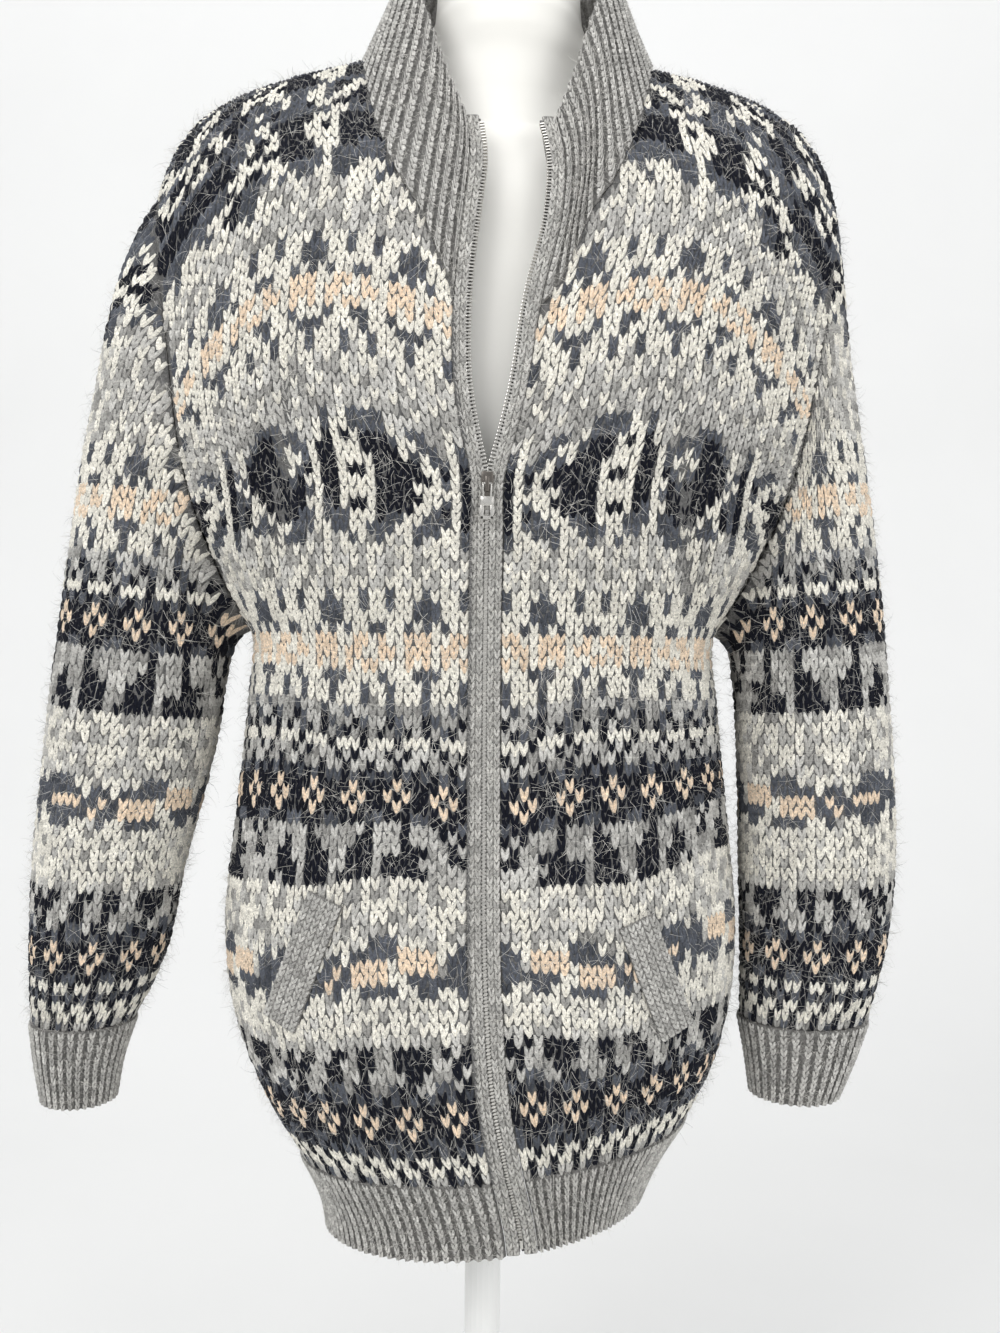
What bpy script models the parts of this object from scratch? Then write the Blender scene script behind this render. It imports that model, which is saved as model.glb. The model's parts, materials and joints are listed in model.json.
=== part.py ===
"""Fair isle zip cardigan, worn by a limbless dress form that stands on a round base.

Metres, +Z up, the front faces -Y and the wearer's left is +X. The origin is the middle of the
base's underside. Each knitted piece is a closed wall whose outer points lie on the garment's
worn shape. The ribs are raised in the outer points over a plain inner side.
"""

import bmesh
import bpy
import numpy as np

# Cloth
WALL = 0.003
SEAM = 0.0003
ARMHOLE_GAP = 0.0013
COLLAR_GAP = 0.0010
RIB_DEPTH = 0.0016
BAND_WIDTH = 0.0085
BAND_PROUD = 0.0008
TAPE_WIDTH = 0.0075
TAPE_THICK = 0.0012
TAPE_GAP = 0.0004
TAPE_EDGE = 0.0009

# Heights of the worn garment
HEM_HEIGHT = 0.302
HEM_TILT = 0.11
HEM_RIB_HEIGHT = 0.054
ARMPIT = 0.700
SHOULDER_TIP = 1.000
SHOULDER_ROUND = 0.120
NECK_SEAM_FRONT = 0.900
NECK_AXIS = 0.006
COLLAR_CORNER = 1.028
ARMHOLE_FULLNESS = 0.50

# Rows and columns of the walls
ROWS_BELOW = 9
ROWS_ABOVE = 11
NECK_COLUMNS = 6
NECK_CROWDING = 1.35
SHOULDER_COLUMNS = 5
FRONT_HEM_RIBS = 20
BACK_HEM_RIBS = 40
COLLAR_RIBS = 56
CUFF_RIBS = 22
WELT_RIBS = 14

# Distance over which the worn surface's slopes are taken
SLOPE_STEP = 0.002

RIGHT, LEFT = -1, 1
FRONT, BACK = -1, 1

# height, right half width, left half width, front depth, back depth.
# Over the armpit the half width is that of the armhole seam.
BODY = (
    (0.280, 0.107, 0.103, 0.096, 0.084),
    (0.310, 0.112, 0.108, 0.101, 0.089),
    (0.346, 0.130, 0.124, 0.111, 0.099),
    (0.374, 0.148, 0.142, 0.119, 0.107),
    (0.402, 0.162, 0.156, 0.124, 0.114),
    (0.444, 0.176, 0.168, 0.128, 0.120),
    (0.500, 0.182, 0.172, 0.127, 0.120),
    (0.570, 0.176, 0.166, 0.122, 0.113),
    (0.654, 0.168, 0.157, 0.121, 0.106),
    (0.700, 0.166, 0.154, 0.125, 0.107),
    (0.735, 0.182, 0.171, 0.129, 0.109),
    (0.787, 0.199, 0.192, 0.134, 0.113),
    (0.900, 0.217, 0.216, 0.124, 0.117),
    (1.000, 0.231, 0.230, 0.101, 0.106),
    (1.060, 0.232, 0.231, 0.086, 0.094),
    (1.120, 0.232, 0.231, 0.072, 0.080),
)

# distance from the middle, height of the shoulder line
SHOULDER = (
    (0.000, 1.116),
    (0.098, 1.092),
    (0.155, 1.077),
    (0.190, 1.062),
    (0.212, 1.044),
    (0.225, 1.022),
    (0.232, 1.000),
)

# height, right edge, left edge of the zip opening
ZIP_EDGES = (
    (0.280, 0.0265, 0.0295),
    (0.320, 0.0225, 0.0255),
    (0.363, 0.0133, 0.0163),
    (0.413, 0.0040, 0.0070),
    (0.474, -0.0010, 0.0020),
    (0.600, -0.0040, -0.0010),
    (0.757, -0.0045, -0.0015),
    (0.797, -0.0048, -0.0008),
    (0.820, -0.0098, 0.0048),
    (0.845, -0.0145, 0.0105),
    (0.910, -0.0165, 0.0205),
    (0.965, -0.0115, 0.0325),
    (1.000, -0.0085, 0.0335),
    (1.028, -0.0120, 0.0280),
)

# share of the way from the zip band to the shoulder, distance from the neck's axis, height
FRONT_NECK = (
    (0.00, 0.026, 0.900),
    (0.20, 0.040, 0.930),
    (0.40, 0.054, 0.964),
    (0.60, 0.070, 0.990),
    (0.80, 0.085, 1.032),
    (1.00, 0.098, 1.0906),
)
BACK_NECK = (
    (0.00, 0.000, 1.066),
    (0.35, 0.040, 1.070),
    (0.70, 0.078, 1.080),
    (1.00, 0.098, 1.0906),
)

# share of the way from the front corner to the middle of the back,
# distance from the neck's axis, depth, height
COLLAR_TOP = (
    (0.00, 0.0270, -0.0950, 1.028),
    (0.14, 0.0400, -0.0850, 1.062),
    (0.30, 0.0560, -0.0640, 1.112),
    (0.50, 0.0730, -0.0180, 1.146),
    (0.72, 0.0640, 0.0380, 1.160),
    (1.00, 0.0000, 0.0640, 1.166),
)

# Shares of the collar's height at its rows, how far its middle sinks in, and the
# columns over which its front edge runs back into its round form
COLLAR_SHARES = (0.0, 0.34, 0.68, 1.0)
COLLAR_HOLLOW = 0.002
COLLAR_EDGE_COLUMNS = 24

# x, height, lean, half width, half length, depth as a share of the wall's distance.
# The same folds lie on the back.
FOLDS = (
    (-0.133, 0.790, 0.06, 0.012, 0.085, 0.100),
    (0.122, 0.765, -0.05, 0.012, 0.075, 0.100),
    (-0.172, 0.735, -0.80, 0.010, 0.030, 0.150),
    (0.160, 0.730, 0.85, 0.010, 0.030, 0.150),
    (0.146, 0.520, 0.18, 0.012, 0.075, 0.070),
    (-0.150, 0.560, -0.12, 0.012, 0.060, 0.060),
)

# inner x, inner height, outer x, outer height, half depth
RIGHT_SLEEVE = (
    (0.166, 0.700, 0.231, 1.000, 0.062),
    (0.176, 0.694, 0.250, 0.968, 0.064),
    (0.181, 0.686, 0.264, 0.925, 0.066),
    (0.184, 0.676, 0.273, 0.878, 0.067),
    (0.186, 0.665, 0.282, 0.830, 0.067),
    (0.188, 0.652, 0.290, 0.776, 0.066),
    (0.190, 0.636, 0.297, 0.722, 0.064),
    (0.194, 0.614, 0.304, 0.668, 0.062),
    (0.201, 0.584, 0.310, 0.612, 0.060),
    (0.214, 0.534, 0.316, 0.548, 0.057),
    (0.223, 0.486, 0.3185, 0.490, 0.053),
    (0.236, 0.450, 0.3180, 0.452, 0.048),
    (0.248, 0.428, 0.3170, 0.428, 0.042),
)
LEFT_SLEEVE = (
    (0.154, 0.700, 0.230, 1.000, 0.062),
    (0.163, 0.694, 0.236, 0.962, 0.064),
    (0.167, 0.686, 0.241, 0.918, 0.066),
    (0.169, 0.676, 0.248, 0.872, 0.067),
    (0.1705, 0.665, 0.256, 0.824, 0.067),
    (0.172, 0.652, 0.264, 0.770, 0.066),
    (0.173, 0.636, 0.271, 0.716, 0.064),
    (0.174, 0.614, 0.276, 0.662, 0.062),
    (0.175, 0.584, 0.281, 0.606, 0.060),
    (0.1765, 0.534, 0.283, 0.546, 0.057),
    (0.178, 0.490, 0.279, 0.494, 0.054),
    (0.1785, 0.458, 0.272, 0.460, 0.050),
    (0.1785, 0.436, 0.2660, 0.436, 0.044),
)
SLEEVE_BLEND_RINGS = 4

# drop under the sleeve's end, inner x, outer x, half depth
RIGHT_CUFF = (
    (0.000, 0.248, 0.317, 0.042),
    (0.028, 0.257, 0.314, 0.034),
    (0.057, 0.262, 0.309, 0.029),
)
LEFT_CUFF = (
    (0.000, 0.1785, 0.266, 0.044),
    (0.027, 0.184, 0.257, 0.038),
    (0.054, 0.188, 0.246, 0.033),
)

# x, height of the welt's upper and lower end at its middle line
RIGHT_WELT = ((-0.098, 0.540), (-0.132, 0.448))
LEFT_WELT = ((0.091, 0.528), (0.123, 0.446))
WELT_WIDTH = 0.024
WELT_THICK = 0.0022
WELT_LIFT = 0.0006
WELT_RIB_DEPTH = 0.001

# Dress form: height, half width, front depth, back depth
FORM = (
    (0.440, 0.120, 0.078, 0.082),
    (0.446, 0.138, 0.092, 0.094),
    (0.500, 0.146, 0.096, 0.104),
    (0.580, 0.134, 0.088, 0.094),
    (0.660, 0.116, 0.084, 0.080),
    (0.730, 0.128, 0.098, 0.086),
    (0.800, 0.142, 0.117, 0.094),
    (0.870, 0.156, 0.108, 0.098),
    (0.930, 0.174, 0.096, 0.096),
    (0.980, 0.188, 0.084, 0.088),
    (1.020, 0.191, 0.055, 0.065),
    (1.044, 0.187, 0.035, 0.044),
)
FORM_SHOULDER_GAP = 0.0008
FORM_SHOULDER_STEPS = 6
FORM_SHOULDER_OUTER = 0.184
FORM_SHOULDER_INNER = 0.108
FORM_CLEARANCE = 0.0050
FORM_EASE = 0.55
FORM_NECK_ROOM = 0.036
SHOULDER_SLANT = 1.07
# height, radius across, radius in depth
FORM_NECK = (
    (1.0870, 0.080, 0.038),
    (1.0900, 0.064, 0.042),
    (1.1000, 0.056, 0.050),
    (1.1180, 0.0510, 0.0510),
    (1.150, 0.0485, 0.0485),
    (1.186, 0.0490, 0.0490),
    (1.196, 0.0440, 0.0440),
    (1.200, 0.0300, 0.0300),
)
FORM_POINTS = 40
POLE_RADIUS = 0.0125
POLE_FLANGE = 0.030
POLE_FLANGE_HEIGHT = 0.004
BASE_RADIUS = 0.160
BASE_HEIGHT = 0.012
BASE_CHAMFER = 0.003

# Zip slider and pull
SLIDER_TOP = 0.7975
SLIDER_LENGTH = 0.0160
SLIDER_WIDTH = 0.0080
SLIDER_THICK = 0.0018
SLIDER_STEM = 0.0022
STEM_HALF_WIDTH = 0.0006
STEM_ENDS = (0.003, 0.004)
SLIDER_CLEARANCE = 0.0003
SLIDER_OVERLAP = 0.0004
BRIDGE_WIDTH = 0.0024
BRIDGE_HEIGHT = 0.0042
BRIDGE_LENGTH = 0.0090
BRIDGE_WALL = 0.0012
PULL_WIDTH = 0.0080
PULL_LENGTH = 0.0215
PULL_THICK = 0.0014
PULL_WINDOW = 0.0040
PULL_WINDOW_LENGTH = 0.0070
PULL_BAR_FROM_PLATE = 0.0013
PULL_BAR_HEIGHT = 0.0006
STOP_SIZE = (0.0018, 0.0028, 0.0060)
STOP_LIFT = 0.004


def read(table, column, at):
    """One column of a table at the given places, as a smooth curve through its rows."""
    rows = np.array(table)
    place, value = rows[:, 0], rows[:, column]
    slope = np.gradient(value, place)
    at = np.clip(at, place[0], place[-1])
    i = np.clip(np.searchsorted(place, at) - 1, 0, len(place) - 2)
    step = place[i + 1] - place[i]
    t = (at - place[i]) / step
    ends = (2 * t**3 - 3 * t**2 + 1) * value[i] + (3 * t**2 - 2 * t**3) * value[i + 1]
    bends = (t**3 - 2 * t**2 + t) * slope[i] + (t**3 - t**2) * slope[i + 1]
    return ends + bends * step


def unit(vectors):
    return vectors / np.maximum(np.linalg.norm(vectors, axis=-1, keepdims=True), 1e-12)


def half_width(side, z):
    return read(BODY, 1 if side == RIGHT else 2, z)


def virtual_width(side, z):
    """Half width at which the front would meet the back if there were no armhole."""
    rise = np.clip((z - ARMPIT) / (SHOULDER_TIP - ARMPIT), 0, 1)
    swing = np.minimum(np.arccos(1 - 2 * rise), np.pi / 2)
    cosine = ARMHOLE_FULLNESS * np.sin(swing)
    return half_width(side, z) / np.sqrt(1 - cosine**2)


def depth(face, x, z):
    """Distance of the worn cloth's outer side from the plane through the side seams."""
    side_width = np.where(x < 0, virtual_width(RIGHT, z), virtual_width(LEFT, z))
    across = np.sqrt(np.clip(1 - (x / side_width) ** 2, 0, 1))
    start = read(SHOULDER, 1, np.abs(x)) - SHOULDER_ROUND
    climb = np.clip((z - start) / SHOULDER_ROUND, 0, 1)
    over = np.sqrt(1 - climb**2)
    fold = 0
    for middle, height, lean, width, length, share in FOLDS:
        along = (z - height) / length
        aside = (x - middle - lean * (z - height)) / width
        fold = fold + share * np.exp(-(aside**2) - along**2)
    return read(BODY, 3 if face == FRONT else 4, z) * across * over * (1 - fold)


def cloth_point(face, x, z):
    return np.stack([x + 0 * z, face * depth(face, x, z), z + 0 * x], axis=-1)


def cloth_normal(face, x, z):
    """Outward direction of the worn surface, from its slopes."""
    step = SLOPE_STEP
    slope_x = (depth(face, x + step, z) - depth(face, x - step, z)) / (2 * step)
    slope_z = (depth(face, x, z + step) - depth(face, x, z - step)) / (2 * step)
    return unit(np.stack([-slope_x, face + 0 * slope_x, -slope_z], axis=-1))


def zip_edge(side, z):
    return read(ZIP_EDGES, 1 if side == RIGHT else 2, z)


def band_edge(side, z):
    """Where a front or the collar starts beside its zip band."""
    return zip_edge(side, z) + side * (BAND_WIDTH + SEAM)


def rib_top(x):
    return HEM_HEIGHT + HEM_RIB_HEIGHT + HEM_TILT * x


def column_ends(side, face):
    """x and height at the top of each column, from the middle to the shoulder tip."""
    neck_table = FRONT_NECK if face == FRONT else BACK_NECK
    share = 1 - np.linspace(1, 0, NECK_COLUMNS + 1) ** NECK_CROWDING
    neck_x = side * read(neck_table, 1, share) + NECK_AXIS
    neck_z = read(neck_table, 2, share)
    if face == FRONT:
        neck_x[0] = band_edge(side, NECK_SEAM_FRONT)
    tip = side * half_width(side, SHOULDER_TIP)
    outward = np.linspace(0, 1, SHOULDER_COLUMNS + 1)[1:] ** 0.85
    shoulder_x = neck_x[-1] + (tip - neck_x[-1]) * outward
    shoulder_z = read(SHOULDER, 1, np.abs(shoulder_x))
    neck_z[-1] = read(SHOULDER, 1, np.abs(neck_x[-1]))
    return np.append(neck_x, shoulder_x), np.append(neck_z, shoulder_z)


def middle_x(side, face, z):
    return band_edge(side, z) if face == FRONT else NECK_AXIS + 0 * z


def half_panel(side, face):
    """Rows of outer points of one half of the body, from the rib to the neck and shoulder."""
    end_x, end_z = column_ends(side, face)
    end_side = side * half_width(side, end_z)
    end_middle = middle_x(side, face, end_z)
    spread = (end_x - end_middle) / (end_side - end_middle)
    spread[-1] = 1
    rows = []
    for j in range(ROWS_BELOW + ROWS_ABOVE + 1):
        if j <= ROWS_BELOW:
            z = np.full_like(spread, ARMPIT)
            for _ in range(6):
                x = panel_x(side, face, spread, z)
                z = rib_top(x) + (ARMPIT - rib_top(x)) * j / ROWS_BELOW
        else:
            swing = np.pi * (j - ROWS_BELOW) / ROWS_ABOVE
            z = ARMPIT + (end_z - ARMPIT) * (1 - np.cos(swing)) / 2
        rows.append(cloth_point(face, panel_x(side, face, spread, z), z))
    grid = np.array(rows)
    grid[-1, NECK_COLUMNS:, 1] = 0
    grid[: ROWS_BELOW + 1, -1, 1] = 0
    grid[-1, :, 0] = end_x
    return grid


def panel_x(side, face, spread, z):
    middle = middle_x(side, face, z)
    return middle + spread * (side * half_width(side, z) - middle)


def sleeve_rings(side, loop):
    """Rings of outer points from the armhole loop to the sleeve's end."""
    table = np.array(RIGHT_SLEEVE if side == RIGHT else LEFT_SLEEVE)
    swing = np.linspace(0, 2 * np.pi, len(loop), endpoint=False)
    rings = []
    for inner_x, inner_z, outer_x, outer_z, half_depth in table:
        inner = np.array([side * inner_x, 0, inner_z])
        outer = np.array([side * outer_x, 0, outer_z])
        across = (inner + outer) / 2 - np.outer(np.cos(swing), (outer - inner) / 2)
        rings.append(across + np.outer(np.sin(swing), [0, -half_depth, 0]))
    away = loop - rings[0]
    for k in range(SLEEVE_BLEND_RINGS):
        rings[k] = rings[k] + away * (1 - k / SLEEVE_BLEND_RINGS) ** 2
    return np.array(rings)


def surface_normals(grids, closed):
    """Normals at every point, shared where two pieces meet in a seam."""
    total = {}
    keys = []
    for name, grid in grids.items():
        point = np.concatenate([grid, grid[:, :1]], axis=1) if closed[name] else grid
        low, high = point[:-1], point[1:]
        face = np.cross(low[:, 1:] - high[:, :-1], high[:, 1:] - low[:, :-1])
        near = np.zeros_like(point)
        for rows in (slice(None, -1), slice(1, None)):
            for columns in (slice(None, -1), slice(1, None)):
                near[rows, columns] += face
        if closed[name]:
            near[:, 0] += near[:, -1]
            near = near[:, :-1]
        tag = [tuple(p) for p in np.round(grid.reshape(-1, 3), 6) + 0.0]
        keys.append((name, tag))
        for where, vector in zip(tag, near.reshape(-1, 3)):
            total[where] = total.get(where, 0) + vector
    return {
        name: unit(np.array([total[where] for where in tag])).reshape(grids[name].shape)
        for name, tag in keys
    }


def pulled_in(points, inner, edges, gap=SEAM):
    """Moves the named edges of a wall away from their seams by half the seam's gap."""
    points, inner = points.copy(), inner.copy()
    for edge in edges:
        border, next_in = {
            "first": ((slice(None), 0), (slice(None), 1)),
            "last": ((slice(None), -1), (slice(None), -2)),
            "bottom": ((0, slice(None)), (1, slice(None))),
            "top": ((-1, slice(None)), (-2, slice(None))),
        }[edge]
        shift = unit(points[next_in] - points[border]) * gap / 2
        points[border] += shift
        inner[border] += shift
    return points, inner


def material(name, colour, roughness, metallic=0.0):
    found = bpy.data.materials.get(name)
    if found:
        return found
    made = bpy.data.materials.new(name)
    made.use_nodes = True
    shader = made.node_tree.nodes["Principled BSDF"]
    shader.inputs["Base Color"].default_value = (*colour, 1)
    shader.inputs["Roughness"].default_value = roughness
    shader.inputs["Metallic"].default_value = metallic
    return made


def finished(name, bm, look, smooth=True):
    """Turns a bmesh into the named object, with its faces pointing out."""
    bmesh.ops.recalc_face_normals(bm, faces=bm.faces)
    mesh = bpy.data.meshes.new(name)
    bm.to_mesh(mesh)
    bm.free()
    mesh.materials.append(material(*look))
    if smooth:
        mesh.shade_smooth()
        mesh.set_sharp_from_angle(angle=np.radians(50))
    made = bpy.data.objects.new(name, mesh)
    bpy.context.scene.collection.objects.link(made)
    return made


def wall(name, outer, inner, look, around=False):
    """A closed wall between two grids of points. A tube's rows close on themselves."""
    bm = bmesh.new()
    out = [[bm.verts.new(p) for p in row] for row in outer]
    back = [[bm.verts.new(p) for p in row] for row in inner]
    count = len(outer[0])
    steps = count if around else count - 1
    for i in range(len(outer) - 1):
        for j in range(steps):
            k = (j + 1) % count
            bm.faces.new((out[i][j], out[i][k], out[i + 1][k], out[i + 1][j]))
            bm.faces.new((back[i][k], back[i][j], back[i + 1][j], back[i + 1][k]))
        if not around:
            bm.faces.new((out[i][0], out[i + 1][0], back[i + 1][0], back[i][0]))
            bm.faces.new((out[i + 1][-1], out[i][-1], back[i][-1], back[i + 1][-1]))
    for j in range(steps):
        k = (j + 1) % count
        bm.faces.new((out[0][k], out[0][j], back[0][j], back[0][k]))
        bm.faces.new((out[-1][j], out[-1][k], back[-1][k], back[-1][j]))
    return finished(name, bm, look)


def ribbed(plain, normals, raised):
    """Outer points with every other column raised by the rib's depth."""
    lift = np.zeros(plain.shape[1])
    lift[raised] = RIB_DEPTH
    return plain + normals * lift[None, :, None]


def on_plane(inner, outer):
    """Keeps the wall's edge on the tilted plane that the hem rib starts from."""
    inner = inner.copy()
    inner[:, 2] = outer[:, 2] + HEM_TILT * (inner[:, 0] - outer[:, 0])
    return inner


FAIR_ISLE = ("fair isle knit", (0.46, 0.47, 0.47), 0.95)
GREY_RIB = ("grey rib knit", (0.33, 0.32, 0.30), 0.95)
TAPE_CLOTH = ("zip tape", (0.05, 0.05, 0.055), 0.8)
ZIP_METAL = ("zip metal", (0.62, 0.60, 0.57), 0.3, 1.0)
FORM_SKIN = ("white form", (0.83, 0.82, 0.77), 0.4)
STAND_WHITE = ("white stand", (0.85, 0.85, 0.83), 0.3)


def body_panels():
    """The two fronts, the back and the two sleeves, which share their seams' points."""
    halves = {}
    for side, word in ((RIGHT, "right"), (LEFT, "left")):
        for face, place in ((FRONT, "front"), (BACK, "back")):
            halves[word, place] = half_panel(side, face)
    back = np.concatenate([halves["right", "back"][:, ::-1], halves["left", "back"][:, 1:]], axis=1)
    grids = {
        "right_front": halves["right", "front"][:, ::-1],
        "left_front": halves["left", "front"],
        "back": back[:, ::-1],
    }
    closed = dict.fromkeys(grids, False)
    for side, word in ((RIGHT, "right"), (LEFT, "left")):
        front_edge = halves[word, "front"][ROWS_BELOW:, -1]
        back_edge = halves[word, "back"][ROWS_BELOW:, -1]
        loop = np.concatenate([front_edge, back_edge[-2:0:-1]])
        rings = sleeve_rings(side, loop)[::-1]
        grids[word + "_sleeve"] = rings if side == LEFT else rings[:, ::-1]
        closed[word + "_sleeve"] = True
    return grids, closed


def front_edge_normals(name, grid, normals):
    """The edge beside the zip band takes the worn surface's own normals."""
    column = {"right_front": -1, "left_front": 0}[name]
    edge = grid[:, column]
    normals[:, column] = cloth_normal(FRONT, edge[:, 0], edge[:, 2])


def flat_normals(normals):
    flat = normals.copy()
    flat[..., 2] = 0
    return unit(flat)


def make_panels():
    grids, closed = body_panels()
    normals = surface_normals(grids, closed)
    for side, word in ((RIGHT, "right"), (LEFT, "left")):
        armpit = np.array([side * half_width(side, ARMPIT), 0, ARMPIT])
        for name, grid in grids.items():
            at_armpit = np.linalg.norm(grid - armpit, axis=-1) < 1e-5
            normals[name][at_armpit] = (0, 0, -1)
    for name, grid in grids.items():
        if name in ("right_front", "left_front"):
            front_edge_normals(name, grid, normals[name])
        normals[name][0] = flat_normals(normals[name][0])
        inner = grid - normals[name] * WALL
        if closed[name]:
            inner[0, :, 2] = grid[0, :, 2]
            outer, inner = pulled_in(grid, inner, ("top",), ARMHOLE_GAP)
            wall(name, outer, inner, FAIR_ISLE, around=True)
            continue
        inner[0] = on_plane(inner[0], grid[0])
        outer, inner = shoulders_pulled_in(name, grid, inner)
        wall(name, outer, inner, FAIR_ISLE)


def shoulders_pulled_in(name, grid, inner):
    """Opens the side, armhole and shoulder seams. The neck edge and the hem stay in place."""
    edges = {"right_front": ("first",), "left_front": ("last",), "back": ("first", "last")}[name]
    outer, inner = pulled_in(grid, inner, edges, ARMHOLE_GAP)
    if name == "right_front":
        shoulder = np.arange(0, SHOULDER_COLUMNS + 1)
    elif name == "left_front":
        shoulder = np.arange(NECK_COLUMNS, grid.shape[1])
    else:
        right = np.arange(0, SHOULDER_COLUMNS + 1)
        shoulder = np.append(right, grid.shape[1] - 1 - right)
    shift = unit(outer[-2, shoulder] - outer[-1, shoulder]) * SEAM / 2
    outer[-1, shoulder] += shift
    inner[-1, shoulder] += shift
    return outer, inner


def hem_points(face, fractions, side):
    """Plain outer points of the hem rib at shares of the way from its start to the side."""
    rows = []
    for drop in (SEAM, HEM_RIB_HEIGHT / 2, HEM_RIB_HEIGHT):
        z = np.full_like(fractions, HEM_HEIGHT)
        for _ in range(6):
            middle = middle_x(side, face, z)
            x = middle + np.sin(fractions * np.pi / 2) * (side * half_width(side, z) - middle)
            z = rib_top(x) - drop
        rows.append(cloth_point(face, x, z))
    return np.array(rows)[::-1]


def hem_wall(name, plain):
    normals = surface_normals({name: plain}, {name: False})[name]
    normals = flat_normals(normals)
    for column in (0, -1):
        if name == "back_hem" or (column == 0) == (name == "right_front_hem"):
            normals[:, column] = (np.sign(plain[0, column, 0]), 0, 0)
        else:
            edge = plain[:, column]
            normals[:, column] = cloth_normal(FRONT, edge[:, 0], edge[:, 2])
    raised = np.arange(1, plain.shape[1] - 1, 2)
    outer = ribbed(plain, normals, raised)
    inner = plain - normals * WALL
    for row in range(len(plain)):
        outer[row] = on_plane(outer[row], plain[row])
        inner[row] = on_plane(inner[row], plain[row])
    side_edges = {
        "right_front_hem": ("first",),
        "left_front_hem": ("last",),
        "back_hem": ("first", "last"),
    }
    outer, inner = pulled_in(outer, inner, side_edges[name])
    wall(name, outer, inner, GREY_RIB)


def make_hem():
    front_share = np.linspace(0, 1, 2 * FRONT_HEM_RIBS + 1)
    right = hem_points(FRONT, front_share, RIGHT)
    left = hem_points(FRONT, front_share, LEFT)
    back_share = np.linspace(0, 1, BACK_HEM_RIBS + 1)
    right_back = hem_points(BACK, back_share, RIGHT)
    left_back = hem_points(BACK, back_share, LEFT)
    back = np.concatenate([left_back[:, ::-1], right_back[:, 1:]], axis=1)
    for grid, column in ((right, -1), (left, -1), (back, 0), (back, -1)):
        grid[:, column, 1] = 0
    hem_wall("right_front_hem", right[:, ::-1])
    hem_wall("left_front_hem", left)
    hem_wall("back_hem", back)


def make_cuffs():
    for side, word, table, sleeve in (
        (RIGHT, "right", RIGHT_CUFF, RIGHT_SLEEVE),
        (LEFT, "left", LEFT_CUFF, LEFT_SLEEVE),
    ):
        top = sleeve[-1][1] - SEAM
        turn = np.linspace(0, 2 * np.pi, 2 * CUFF_RIBS, endpoint=False)
        plain = []
        for drop, inner_x, outer_x, half_depth in table:
            middle, reach = side * (inner_x + outer_x) / 2, (outer_x - inner_x) / 2
            ring = [middle + reach * np.cos(turn), half_depth * np.sin(turn), 0 * turn + top - drop]
            plain.append(np.stack(ring, axis=-1))
        plain = np.array(plain)[::-1]
        name = word + "_cuff"
        normals = flat_normals(surface_normals({name: plain}, {name: True})[name])
        outer = ribbed(plain, normals, np.arange(0, 2 * CUFF_RIBS, 2))
        wall(name, outer, plain - normals * WALL, GREY_RIB, around=True)


def neck_line(grids):
    """The neck seam of the garment from the right front's zip band round to the left one's."""
    right = grids["right_front"][-1, SHOULDER_COLUMNS:][::-1]
    left = grids["left_front"][-1, : NECK_COLUMNS + 1]
    back = grids["back"][-1, SHOULDER_COLUMNS:-SHOULDER_COLUMNS]
    return np.concatenate([right, back[::-1][1:-1], left[::-1]])


def along(points, count):
    """The given number of points at even steps along a line of straight stretches."""
    length = np.append(0, np.cumsum(np.linalg.norm(np.diff(points, axis=0), axis=1)))
    share = np.linspace(0, length[-1], count)
    return np.stack([np.interp(share, length, points[:, axis]) for axis in range(3)], axis=-1)


def collar_top(share):
    """A point of the collar's top edge, from the right front corner at 0 to the left at 1."""
    half = 1 - np.abs(2 * share - 1)
    side = np.where(share < 0.5, -1, 1)
    x = NECK_AXIS + side * read(COLLAR_TOP, 1, half)
    return np.stack([x, read(COLLAR_TOP, 2, half), read(COLLAR_TOP, 3, half)], axis=-1)


def front_edge_of_collar(side):
    """Points beside the zip band from the neck seam to the collar's corner."""
    low = NECK_SEAM_FRONT + COLLAR_GAP
    z = low + (COLLAR_CORNER - low) * np.array(COLLAR_SHARES)
    return cloth_point(FRONT, band_edge(side, z), z)


def make_collar(grids):
    count = 2 * COLLAR_RIBS + 1
    base = along(neck_line(grids), count)
    share = np.linspace(0, 1, count)
    top = collar_top(share)
    rise = unit(top - base)
    base = base + rise * COLLAR_GAP
    rows = []
    for part in COLLAR_SHARES:
        row = base + (top - base) * part
        away = unit(row - np.array([NECK_AXIS, 0, 0])) * [1, 1, 0]
        rows.append(row - away * COLLAR_HOLLOW * np.sin(np.pi * part))
    plain = np.array(rows)
    for column, side in ((0, RIGHT), (-1, LEFT)):
        edge = front_edge_of_collar(side)
        shift = edge - plain[:, column]
        for k in range(COLLAR_EDGE_COLUMNS):
            weight = (1 + np.cos(np.pi * k / COLLAR_EDGE_COLUMNS)) / 2
            place = k if column == 0 else -1 - k
            plain[:, place] += shift * weight
    normals = -surface_normals({"collar": plain}, {"collar": False})["collar"]
    facing = np.sign((normals * (plain - [NECK_AXIS, 0, 1.0]))[..., :2].sum())
    normals = normals * facing
    for column in (0, -1):
        edge = plain[:, column]
        normals[:, column] = cloth_normal(FRONT, edge[:, 0], edge[:, 2])
    raised = np.arange(1, count - 1, 2)
    outer = ribbed(plain, normals, raised)
    outer[0] = plain[0]
    wall("collar", outer, plain - normals * WALL, GREY_RIB)


def edge_heights(grids, side):
    """Heights of the zip band's rows, which match the rows of the pieces beside it."""
    name, column = ("right_front", -1) if side == RIGHT else ("left_front", 0)
    panel = grids[name][:, column, 2]
    hem_low = HEM_HEIGHT + HEM_TILT * float(zip_edge(side, HEM_HEIGHT))
    hem = np.linspace(hem_low, panel[0], 3)[:2]
    collar = front_edge_of_collar(side)[:, 2]
    return np.concatenate([hem, panel, collar[1:]])


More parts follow.
